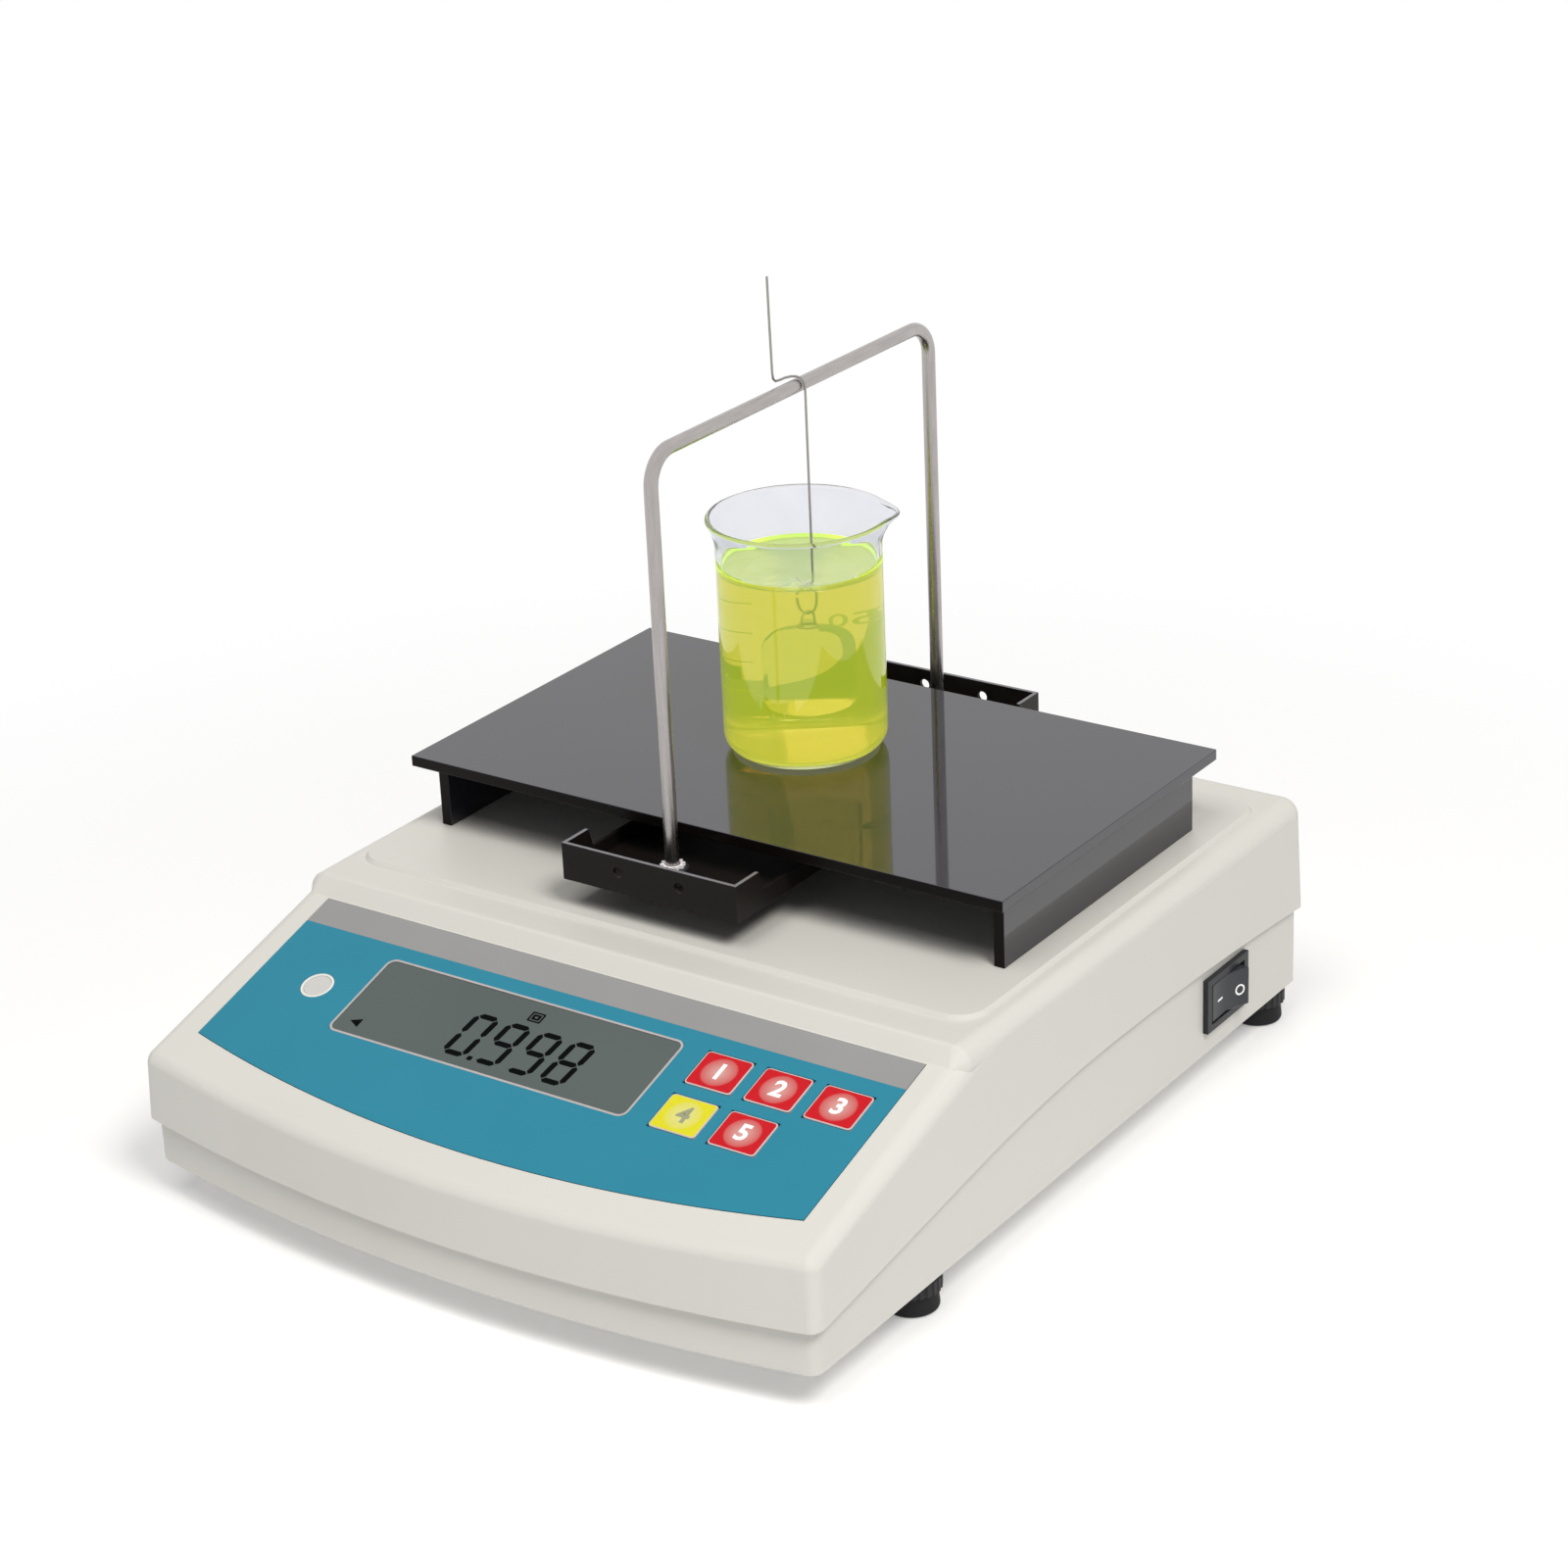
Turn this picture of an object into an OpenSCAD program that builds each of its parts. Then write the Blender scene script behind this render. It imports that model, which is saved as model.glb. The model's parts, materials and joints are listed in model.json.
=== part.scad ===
// Benchtop density meter: a two-shell housing with a sloping control panel, a weighing
// tray with a hanging frame, a glass sinker on a wire, and a beaker on a stand-over table.
// Millimetres. +X right, +Y to the rear, +Z up. Origin at the footprint centre on the bench.

/* [Housing] */
// Half width of the top cover at its lower edge
cover_hw = 99.7; // [95:0.1:105]
// Half width of the top cover at the shoulder, after draft
shoulder_hw = 98.5; // [94:0.1:104]
// Y of the front ends of the side walls
side_front_y = -110; // [-115:0.5:-105]
// How far the front face bows out in the middle
front_bow = 10; // [6:0.5:12]
// Y of the rear face of the top cover
rear_y = 120; // [115:0.5:125]
// Height of the shoulder round the raised pad
shoulder_z = 62.6; // [60:0.1:65]
// Height of the raised pad that the table stands on
pad_z = 63.65; // [63:0.05:66]
// Wall thickness of both shells
wall = 2.5; // [1.8:0.1:3]
// Step from the cover's lower edge in to the bottom case
case_step = 2; // [1.8:0.1:3]
// Underside of the bottom case above the bench
case_z = 9.1; // [8.8:0.1:10]
// Highest point of the arched parting line
parting_z = 36; // [34:0.5:38]
// Y of the highest point of the parting line
parting_y = 20; // [15:1:35]
// Arch radius of the parting line ahead of its highest point
parting_front_r = 450; // [400:1:600]
// Slope of the parting line's straight run to the front
parting_fall = 0.14; // [0.12:0.005:0.15]
// Arch radius of the parting line behind its highest point
parting_rear_r = 1111; // [800:1:1400]

/* [Control panel] */
// Y of the panel plane's reference line below the shoulder's lip
slope_y = -46; // [-47:0.1:-45]
// Height of that reference line
slope_z = 59; // [58.5:0.1:59.5]
// Tilt of the panel plane from level
slope_angle = 16.9; // [16:0.1:18]
// Half width of the overlay sheet
overlay_hw = 89.2; // [86:0.1:91]
// Distance down the slope to the overlay's upper edge
overlay_top = 2.7; // [2:0.1:4]
// Distance down the slope to the overlay's lower corners
overlay_low = 55.3; // [54:0.1:56]
// Bow of the overlay's lower edge
overlay_bow = 10.6; // [8:0.1:11]
// Display window width, height
window_size = [88.6, 26];
// Display window centre: across, down the slope
window_at = [-13.5, 29.3];
// Key size: across, down the slope
key_size = [13.1, 11.3];
// Centres of the three key columns
key_columns = [44.5, 61, 77.5];
// Centres of the two key rows down the slope
key_rows = [22, 37.1];
// Key travel
key_travel = 0.4; // [0.3:0.05:0.4]
// Spirit level centre: across, down the slope
level_at = [-70.6, 30.7];
// Outer radius of the spirit level
level_r = 4.3; // [4:0.1:5]

/* [Weighing parts] */
// Y of the weighing tray's centre
tray_y = 37.4; // [37:0.1:38]
// Tray width and length over the walls
tray_size = [52, 139];
// Underside of the tray
tray_z = 71.6; // [71:0.1:72]
// Height of the tray's end walls
tray_wall = 9.7; // [9:0.1:9.8]
// Height of the low side walls that pass under the table
tray_low = 4.6; // [4:0.1:5]
// Tray sheet thickness
sheet = 1; // [0.8:0.1:1.2]
// Hanging frame rod radius
rod_r = 1.75; // [1.5:0.05:2]
// Half span between the uprights
frame_half = 60; // [58:0.5:62]
// Height of the crossbar's axis
bar_z = 181.3; // [175:0.1:185]
// Bend radius at the frame's corners
bend_r = 8; // [6:0.5:9]
// Load cell width, length, height
cell_size = [12, 80, 22];

/* [Table and vessel] */
// Y of the table's centre
table_y = 38; // [37:0.1:39]
// Table top width, depth, thickness
table_size = [177.2, 103, 2.9];
// Top surface of the table
table_z = 84.4; // [83:0.1:85]
// Inset of the legs from the table's ends and from its long edges
leg_inset = [3.5, 6];
// Leg thickness
leg_t = 3; // [2.5:0.1:4]
// Beaker axis
beaker_at = [-4.2, 43.3];
// Beaker outer radius
beaker_r = 21; // [20.5:0.1:21.5]
// Beaker height
beaker_h = 60.4; // [58:0.1:62]
// Beaker glass thickness
glass = 1.4; // [1.2:0.1:1.6]
// Direction that the beaker's spout points in
spout_angle = 35.5; // [0:0.5:60]
// Sinker axis
sinker_at = [0, 38.8];
// Sinker radius
sinker_r = 9.5; // [9:0.1:10]
// Underside and shoulder height of the sinker
sinker_span = [98.3, 119.6];
// Hanger wire radius
wire_r = 0.3; // [0.2:0.05:0.4]

/* [Switch, inlet and feet] */
// Rocker switch centre: Y and Z
rocker_at = [76.8, 24.25];
// Rocker flange: length along Y, height
rocker_size = [21.4, 14.8];
// Tilt of the rocker paddle in its ON position
rocker_tilt = 11; // [9:0.5:12]
// DC inlet centre: X and Z
inlet_at = [-50, 20];
// Foot positions: X, front Y and rear Y
foot_at = [89.2, -57.5, 111];
// Thumbwheel radius
wheel_r = 7.4; // [7:0.1:7.8]

/* [Hidden] */

ABS_COLOUR = "#dedcd3";
BLACK = "#1b1b1d";
STEEL = "#c9c8c4";

corner_r = 3.5;        // vertical corners of the housing
edge_r = 4;            // round along the slope's front edge
shoulder_r = 5;        // round along the shoulder's sides and rear
slope_tan = tan(slope_angle);
floor_z = case_z + 2.3;
case_hw = cover_hw - case_step;
case_front = side_front_y + case_step;
case_rear = rear_y - case_step;
recess = 1.5;          // depth of the overlay's pocket in the cover
overlay_proud = 0.1;
membrane_t = 0.3;
key_gap = 0.2;
key_top = 0.25;        // key faces above the panel plane
key_low = -0.74;       // underside of the keys at rest
key_flange = 0.6;      // retaining flange beyond the key's face, under the overlay
board_z = -14;         // main board's rear face, along the panel normal
board_size = [132, 46, 1.6];
board_at = [4, 30];
lcd_size = [93, 31, 8.2];
board_posts = [[-58, 10.5], [-58, 49.5], [66, 10.5], [66, 49.5]];
key_at = [[key_columns[0], key_rows[0]], [key_columns[1], key_rows[0]],
    [key_columns[2], key_rows[0]], [key_columns[0], key_rows[1]],
    [key_columns[1], key_rows[1]]];
key_colour = ["#d0202c", "#d0202c", "#d0202c", "#e6df1e", "#d0202c"];
plate_z = 14;          // base plate's underside
plate_size = [80, 104, 4];
cell_z = plate_z + plate_size[2] + 3;
cell_top = cell_z + cell_size[2];
post_r = 9;
deck_hole_r = 13;
feet = [[-foot_at[0], foot_at[1]], [foot_at[0], foot_at[1]],
    [-foot_at[0], foot_at[2]], [foot_at[0], foot_at[2]]];
stud_r = 2.95;
insert_r = [3, 4.2];
case_screw_at = [[-80, -97], [80, -97], [-66, 108], [66, 108]];
plate_posts = [for (x = [-1, 1], y = [-1, 1]) [x * 34, tray_y + y * 46]];
cell_bolt_y = [-32, -20, 20, 32];
hole_x = 9.1;          // tray wall holes either side of the middle
hole_z = tray_z + 5.5;
boss_h = 4.2;           // threaded bosses that the frame stands in

// Height of the parting line at y: an arch that runs out straight towards the front.
function parting(y) =
    let (ahead = parting_y - y, bend = parting_front_r * parting_fall)
    ahead < 0 ? parting_z - ahead * ahead / (2 * parting_rear_r)
    : parting_z - pow(min(ahead, bend), 2) / (2 * parting_front_r) - parting_fall * max(0, ahead - bend);
// Height of the panel plane at y.
function plane_z(y) = slope_z + (y - slope_y) * slope_tan;
// Points of an arc about c.
function arc(c, r, from, to, n) =
    [for (i = [0:n]) let (a = from + (to - from) * i / n) [c[0] + r * cos(a), c[1] + r * sin(a)]];
function bow_r(hw, bow) = (hw * hw + bow * bow) / (2 * bow);

// Plan outline of the housing: straight sides and rear, bowed front, round corners.
function outline(hw, front, rear, bow, r) =
    let (
        br = bow_r(hw, bow),
        bc = [0, front - bow + br],
        cx = hw - r,
        cy = bc[1] - sqrt(pow(br - r, 2) - cx * cx),
        turn = atan2(bc[1] - cy, cx)
    )
    concat(
        arc([cx, rear - r], r, 0, 90, 5),
        arc([-cx, rear - r], r, 90, 180, 5),
        arc([-cx, cy], r, 180, 180 + turn, 5),
        arc(bc, br, 180 + turn + 0.6, 360 - turn - 0.6, 22),
        arc([cx, cy], r, 360 - turn, 360, 5));

// Children drawn on the panel plane: X across, -Y down the slope, Z out of the panel.
module on_slope() {
    translate([0, slope_y, slope_z]) rotate([slope_angle, 0, 0]) children();
}

module bar_y(r, y0, y1, x, z) {
    translate([x, y0, z]) rotate([-90, 0, 0]) cylinder(r = r, h = y1 - y0, $fn = 48);
}

module bar_z(r, x, y, z0, z1) {
    translate([x, y, z0]) cylinder(r = r, h = z1 - z0, $fn = 48);
}

// Round-cornered block, corners upright.
module block(size, r) {
    hull() for (x = [-1, 1], y = [-1, 1])
        translate([x * (size[0] / 2 - r), y * (size[1] / 2 - r), 0]) cylinder(r = r, h = size[2], $fn = 24);
}

// A tube of n sides swept along points; each ring's first corner is carried on from the last.
function unit(v) = v / norm(v);
function carry(ways, i, a) = i == len(ways) ? []
    : let (b = unit(a - (a * ways[i]) * ways[i])) concat([b], carry(ways, i + 1, b));
module tube(path, r, n = 8) {
    last = len(path) - 1;
    ways = [for (i = [0:last]) unit(path[min(i + 1, last)] - path[max(i - 1, 0)])];
    sides = carry(ways, 0, [1, 0.01, 0.01]);
    rings = [for (i = [0:last]) for (k = [0:n - 1])
        path[i] + r * (cos(k * 360 / n) * sides[i] + sin(k * 360 / n) * cross(ways[i], sides[i]))];
    faces = [for (i = [0:last - 1]) for (k = [0:n - 1])
        let (a = i * n + k, b = i * n + (k + 1) % n)
        each [[a, b + n, b], [a, a + n, b + n]]];
    polyhedron(rings, concat(faces, [[for (k = [0:n - 1]) k]], [[for (k = [n - 1:-1:0]) last * n + k]]));
}

// ---- Housing ----

// Outer body of the cover without its lip; inset moves every face inwards.
module housing_body(inset) {
    er = edge_r - inset;
    sr = shoulder_r - inset;
    bow_hw = shoulder_hw + 0.4;
    br = bow_r(bow_hw, front_bow);
    bow_y = side_front_y + 0.8 - front_bow + br;
    hull() {
        translate([0, 0, 10])
            linear_extrude(0.1)
                polygon(outline(cover_hw - inset, side_front_y + inset, rear_y - inset, front_bow, corner_r - inset));
        for (i = [-5:5]) {
            x = (bow_hw - edge_r) * i / 5;
            y = bow_y - sqrt(pow(br - edge_r, 2) - x * x);
            translate([x, y, plane_z(y) - edge_r / cos(slope_angle)]) sphere(r = er, $fn = 24);
        }
        for (s = [-1, 1]) {
            turn_y = slope_y + (shoulder_z - shoulder_r + shoulder_r / cos(slope_angle) - slope_z) / slope_tan;
            translate([s * (shoulder_hw - shoulder_r), turn_y, shoulder_z - shoulder_r]) sphere(r = sr, $fn = 32);
            translate([s * (shoulder_hw - shoulder_r), rear_y - 1 - shoulder_r, shoulder_z - shoulder_r])
                sphere(r = sr, $fn = 32);
        }
    }
}

// Raised lip across the top of the slope, with the shoulder behind it.
module housing_lip() {
    lip_r = 2.2;
    swing = shoulder_r - lip_r;
    hull() {
        for (s = [-1, 1]) {
            for (a = [0:22.5:90])
                translate([s * (shoulder_hw - shoulder_r + swing * sin(a)), slope_y + 2.6,
                    shoulder_z - shoulder_r + swing * cos(a)]) sphere(r = lip_r, $fn = 20);
            translate([s * (shoulder_hw - shoulder_r), rear_y - 1 - shoulder_r, shoulder_z - shoulder_r])
                sphere(r = shoulder_r, $fn = 24);
        }
        translate([-shoulder_hw + 3.4, slope_y - 2.6, plane_z(slope_y - 2.6) - 3])
            cube([2 * shoulder_hw - 6.8, 4, 2.4]);
    }
}

// Everything under the arched parting line.
module below_parting(lift) {
    step_y = 6;
    ys = [for (y = [-132:step_y:132]) y];
    translate([-120, 0, 0]) rotate([90, 0, 90]) linear_extrude(240)
        polygon(concat([[132, -20], [-132, -20]], [for (y = ys) [y, parting(y) + lift]]));
}

module top_cover() color(ABS_COLOUR) {
    difference() {
        union() {
            housing_body(0);
            housing_lip();
            hull() {
                translate([0, 36.3, shoulder_z - 0.6]) block([185.6, 142, 0.5], 8);
                translate([0, 36.3, pad_z - 0.3]) block([183.6, 140, 0.3], 7);
            }
        }
        difference() {
            housing_body(wall);
            // bosses for the case screws and the main board stay solid
            for (p = case_screw_at) bar_z(4, p[0], p[1], parting(p[1]) - 8, 80);
            on_slope() for (p = board_posts) bar_z(3, p[0], -p[1], board_z + board_size[2], 20);
        }
        difference() {
            below_parting(0);
            for (p = case_screw_at) bar_z(4, p[0], p[1], parting(p[1]) - 8, 80);
        }
        for (p = case_screw_at) bar_z(1.25, p[0], p[1], 0, parting(p[1]) + 4);
        on_slope() {
            translate([0, 0, -recess]) linear_extrude(10) overlay_outline(0.15);
            translate([window_at[0], -window_at[1], -20]) linear_extrude(30)
                square([window_size[0] - 4, window_size[1] - 4], center = true);
            translate([level_at[0], -level_at[1], -12]) cylinder(r = level_r + 0.05, h = 20, $fn = 48);
            for (p = board_posts) bar_z(1.05, p[0], -p[1], board_z - 1, -4.5);
        }
        bar_z(deck_hole_r, 0, tray_y, 50, 80);
    }
}

module bottom_case() color(ABS_COLOUR) {
    edge = 1.4;
    difference() {
        union() {
            difference() {
                union() {
                    hull() {
                        translate([0, 0, case_z]) linear_extrude(0.1)
                            polygon(outline(case_hw - edge, case_front + edge, case_rear - edge, front_bow, 3));
                        translate([0, 0, case_z + edge]) linear_extrude(0.1)
                            polygon(outline(case_hw, case_front, case_rear, front_bow, corner_r));
                    }
                    translate([0, 0, case_z + edge]) linear_extrude(40)
                        polygon(outline(case_hw, case_front, case_rear, front_bow, corner_r));
                }
                translate([0, 0, floor_z]) linear_extrude(60)
                    polygon(outline(case_hw - wall, case_front + wall, case_rear - wall, front_bow, 2.5));
            }
            for (p = feet) bar_z(5.4, p[0], p[1], case_z, 20.5);
            for (p = case_screw_at) bar_z(4, p[0], p[1], case_z, parting(p[1]) - 8.1);
            for (p = plate_posts) bar_z(4, p[0], p[1], case_z, plate_z);
        }
        difference() {
            translate([0, 0, 0]) linear_extrude(90) square(400, center = true);
            below_parting(-0.05);
        }
        for (p = feet) bar_z(insert_r[1], p[0], p[1], 0, 40);
        for (p = case_screw_at) {
            bar_z(1.6, p[0], p[1], 0, 40);
            bar_z(3.2, p[0], p[1], 0, case_z + 3.2);
        }
        for (p = plate_posts) bar_z(1.25, p[0], p[1], case_z + 1.2, 30);
        translate([case_hw - wall - 2, rocker_at[0] - 9.7, rocker_at[1] - 6.5]) cube([10, 19.4, 13]);
        bar_y(4.05, case_rear - 8, case_rear + 4, inlet_at[0], inlet_at[1]);
    }
}

module foot_inserts() color("#b89a4a") {
    for (p = feet) difference() {
        bar_z(insert_r[1] - 0.02, p[0], p[1], case_z + 0.3, 20.5);
        bar_z(insert_r[0], p[0], p[1], 0, 40);
    }
}

module case_screws() color(STEEL) {
    for (p = case_screw_at) {
        bar_z(2.8, p[0], p[1], case_z + 1.1, case_z + 3.2);
        bar_z(1.2, p[0], p[1], case_z + 3.2, parting(p[1]) + 2);
    }
}

// ---- Control panel ----

module overlay_outline(grow) {
    hw = overlay_hw + grow;
    br = bow_r(hw, overlay_bow);
    turn = asin(hw / br);
    polygon(concat([[hw, -overlay_top + grow], [-hw, -overlay_top + grow]],
        arc([0, -overlay_low - grow - overlay_bow + br], br, 270 - turn, 270 + turn, 28)));
}

module key_opening(i, grow) {
    translate([key_at[i][0], -key_at[i][1]])
        square([key_size[0] + grow, key_size[1] + grow], center = true);
}

module panel_overlay() color("#3890aa") {
    on_slope() difference() {
        translate([0, 0, -recess]) linear_extrude(recess + overlay_proud) overlay_outline(0);
        translate([0, 0, -5]) linear_extrude(10) {
            translate([window_at[0], -window_at[1]]) square(window_size, center = true);
            for (i = [0:4]) key_opening(i, 2 * key_gap);
        }
        translate([0, 0, -5]) linear_extrude(5 + key_low + 0.34)
            for (i = [0:4]) key_opening(i, 2 * (key_flange + key_gap));
        translate([0, 0, -5]) linear_extrude(5 - recess + membrane_t + 0.05) membrane_outline(0.3);
        translate([level_at[0], -level_at[1], -5]) cylinder(r = level_r + 0.05, h = 10, $fn = 48);
    }
}

module display_window() color("#7d8783") {
    on_slope() translate([window_at[0], -window_at[1], -recess])
        linear_extrude(recess) square([window_size[0] - 0.2, window_size[1] - 0.2], center = true);
}

module lcd_module() color("#59615d") {
    face = 2.2;
    on_slope() translate([window_at[0], -window_at[1], board_z + board_size[2]]) {
        linear_extrude(lcd_size[2] - face) square([lcd_size[0], lcd_size[1]], center = true);
        linear_extrude(lcd_size[2]) square([lcd_size[0] - 5, lcd_size[1] - 5], center = true);
    }
}

module main_board() color("#2f6b45") {
    on_slope() translate([board_at[0], -board_at[1], board_z]) difference() {
        union() {
            linear_extrude(board_size[2]) square([board_size[0], board_size[1]], center = true);
            translate([20, -6, -2.2]) cube([14, 14, 2.2]);
            translate([-34, -12, -1.8]) cube([22, 8, 1.8]);
            translate([-50, 6, -6]) cube([9, 12, 6]);
            translate([46, -14, -8]) cube([14, 10, 8]);
            for (x = [-8, 2]) translate([x, 14, -9]) cylinder(r = 4, h = 9, $fn = 32);
        }
        for (p = board_posts)
            translate([p[0] - board_at[0], board_at[1] - p[1], -5]) cylinder(r = 1.3, h = 10, $fn = 32);
    }
}

module board_screws() color(STEEL) {
    on_slope() for (p = board_posts) {
        bar_z(2.2, p[0], -p[1], board_z - 1.6, board_z);
        bar_z(1, p[0], -p[1], board_z, board_z + 7);
    }
}

module membrane_outline(grow) {
    translate([61, -29.55]) square([48 + grow, 28.6 + grow], center = true);
}

module keypad_membrane() color("#8a8f92") {
    on_slope() translate([0, 0, -recess]) linear_extrude(membrane_t) membrane_outline(0);
}

module key_dome(i) color("#d8d6cf") {
    base = -recess + membrane_t;
    on_slope() translate([key_at[i][0], -key_at[i][1], base]) {
        cylinder(r = 3, h = 0.2, $fn = 32);
        cylinder(r = 1.8, h = key_low - base, $fn = 32);
    }
}

module key(i) color(key_colour[i]) {
    rim = 0.3;
    on_slope() translate([key_at[i][0], -key_at[i][1], key_low]) {
        linear_extrude(0.28)
            square([key_size[0] + 2 * key_flange, key_size[1] + 2 * key_flange], center = true);
        linear_extrude(key_top - key_low - rim) square(key_size, center = true);
        linear_extrude(key_top - key_low) square([key_size[0] - 2 * rim, key_size[1] - 2 * rim], center = true);
    }
}

module level_cup() color("#e9e8e3") {
    on_slope() translate([level_at[0], -level_at[1], 0]) difference() {
        translate([0, 0, -8]) cylinder(r = level_r, h = 8 + overlay_proud, $fn = 48);
        translate([0, 0, -6.5]) cylinder(r = level_r - 0.7, h = 8, $fn = 48);
    }
}

module level_vial() color("#f2f2ec") {
    on_slope() translate([level_at[0], -level_at[1], -6.4])
        cylinder(r = level_r - 0.75, h = 6.4 + overlay_proud - 0.1, $fn = 48);
}

// ---- Weighing parts ----

module base_plate() color("#b9bcbf") {
    difference() {
        translate([0, tray_y, plate_z]) block(plate_size, 4);
        for (p = plate_posts) bar_z(1.6, p[0], p[1], 0, 40);
        for (y = [20, 32]) bar_z(2.1, 0, tray_y + y, 0, 40);
    }
}

module base_screws() color(STEEL) {
    top = plate_z + plate_size[2];
    for (p = plate_posts) {
        bar_z(2.8, p[0], p[1], top, top + 2);
        bar_z(1.2, p[0], p[1], plate_z - 2.4, top);
    }
}

module load_cell() color("#c2c5c8") {
    hole = 7;
    difference() {
        translate([-cell_size[0] / 2, tray_y - cell_size[1] / 2, cell_z]) cube(cell_size);
        for (y = [-10, 10])
            translate([-20, tray_y + y, cell_z + cell_size[2] / 2])
                rotate([0, 90, 0]) cylinder(r = hole, h = 40, $fn = 48);
        translate([-20, tray_y - 10, cell_z + cell_size[2] / 2 - 2]) cube([40, 20, 4]);
        for (y = cell_bolt_y) bar_z(2, 0, tray_y + y, cell_z - 1, cell_top + 1);
    }
}

module cell_spacer(y, z) {
    difference() {
        translate([-cell_size[0] / 2, tray_y + y - 13, z]) cube([cell_size[0], 26, 3]);
        for (d = [-6, 6]) bar_z(2.1, 0, tray_y + y + d, z - 1, z + 4);
    }
}

module cell_spacer_rear() color("#9aa0a5") cell_spacer(26, cell_z - 3);
module cell_spacer_front() color("#9aa0a5") cell_spacer(-26, cell_top);

module cell_screws_rear() color(STEEL) {
    for (y = [20, 32]) {
        bar_z(1.95, 0, tray_y + y, plate_z - 0.2, cell_z + 8);
        bar_z(3, 0, tray_y + y, plate_z - 2.2, plate_z - 0.2);
    }
}

module cell_screws_front() color(STEEL) {
    head = cell_top + 6;
    for (y = [-20, -32]) {
        bar_z(1.95, 0, tray_y + y, cell_top - 8, head);
        bar_z(3.3, 0, tray_y + y, head, head + 2);
    }
}

module pan_carrier() color("#a9adb0") {
    top = cell_top + 3;
    difference() {
        union() {
            translate([0, tray_y, top]) block([24, 78, 3], 4);
            bar_z(post_r, 0, tray_y, top, tray_z);
        }
        bar_z(1.6, 0, tray_y, tray_z - 10, tray_z + 1);
        for (y = [-20, -32]) bar_z(2.1, 0, tray_y + y, top - 1, top + 4);
    }
}

module pan_screw() color(STEEL) {
    top = tray_z + sheet;
    bar_z(3.4, 0, tray_y, top, top + 1.8);
    bar_z(1.55, 0, tray_y, tray_z - 8, top);
}

module weighing_tray() color(BLACK) {
    half = tray_size[1] / 2;
    tall = 9.6;
    slant = 1.6;
    side = [[-half, 0], [-half, tray_wall], [tall - half, tray_wall], [tall + slant - half, tray_low],
        [half - tall - slant, tray_low], [half - tall, tray_wall], [half, tray_wall], [half, 0]];
    difference() {
        union() {
            translate([-tray_size[0] / 2, tray_y - half, tray_z]) cube([tray_size[0], tray_size[1], sheet]);
            for (x = [-tray_size[0] / 2, tray_size[0] / 2 - sheet])
                translate([x, tray_y, tray_z]) rotate([90, 0, 90]) linear_extrude(sheet) polygon(side);
            for (y = [-half, half - sheet])
                translate([-tray_size[0] / 2, tray_y + y, tray_z]) cube([tray_size[0], sheet, tray_wall]);
        }
        for (s = [-1, 1]) {
            bar_y(1.4, tray_y + s * (half - sheet / 2) - 3, tray_y + s * (half - sheet / 2) + 3, -hole_x, hole_z);
            bar_y(1.4, tray_y + s * (half - sheet / 2) - 3, tray_y + s * (half - sheet / 2) + 3, hole_x, hole_z);
            bar_z(rod_r + 0.05, 0, table_y + s * frame_half, tray_z - 1, tray_z + 3);
        }
        bar_z(1.6, 0, tray_y, tray_z - 1, tray_z + 3);
    }
}

module hanging_frame() color(STEEL) {
    for (s = [-1, 1]) {
        bar_z(rod_r, 0, table_y + s * frame_half, tray_z - 4, bar_z - bend_r);
        translate([0, table_y + s * (frame_half - bend_r), bar_z - bend_r])
            rotate([90, 0, 90]) rotate([0, 0, s > 0 ? 0 : 90])
                rotate_extrude(angle = 90, $fn = 64) translate([bend_r, 0]) circle(r = rod_r, $fn = 32);
    }
    bar_y(rod_r, table_y - frame_half + bend_r, table_y + frame_half - bend_r, 0, bar_z);
}

module frame_bosses() color(BLACK) {
    for (s = [-1, 1]) translate([0, table_y + s * frame_half, tray_z + sheet]) difference() {
        cylinder(r = 4, h = boss_h, $fn = 48);
        translate([0, 0, -1]) cylinder(r = rod_r + 0.03, h = 9, $fn = 48);
    }
}

module frame_rings() color("#e4e1dc") {
    for (s = [-1, 1]) translate([0, table_y + s * frame_half, tray_z + sheet + boss_h])
        rotate_extrude($fn = 48)
            polygon([[rod_r + 0.03, 0], [3.1, 0], [3.1, 0.5], [2.8, 0.8], [rod_r + 0.03, 0.8]]);
}

module frame_nuts() color(STEEL) {
    for (s = [-1, 1]) translate([0, table_y + s * frame_half, tray_z - 2.8]) difference() {
        cylinder(r = 3.6, h = 2.8, $fn = 6);
        translate([0, 0, -1]) cylinder(r = rod_r + 0.03, h = 5, $fn = 48);
    }
}

// The hanger: a free end to lift it by, a hump over the crossbar and a hook at the bottom.
hanger_x = 2.4;
hanger_path = [[-2.4, 31.5, 210.2], [-2.4, 31.7, 198], [-2.4, 32, 186], [-2.4, 32.3, 184.4],
    [-2.4, 33.2, 183.6], [-2.3, 34.8, 183.45], [-1.8, 36.5, 183.65], [-0.9, 37.9, 183.75],
    [0.2, 38.6, 183.65], [1.2, 38.8, 183.3], [1.95, 38.8, 182.6], [2.3, 38.8, 181.6],
    [hanger_x, 38.8, 180.4], [hanger_x, 38.8, 165], [hanger_x, 38.8, 146], [hanger_x, 38.8, 127.6],
    [2.25, 38.8, 126], [1.75, 38.8, 124.7], [0.95, 38.8, 123.85], [0, 38.8, 123.5],
    [-0.95, 38.8, 123.75], [-1.7, 38.8, 124.4], [-2.2, 38.8, 125.6], [-2.4, 38.8, 127.4]];
hook_z = 123.5;

module hanger_wire() color(STEEL) tube(hanger_path, wire_r, 10);

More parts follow.
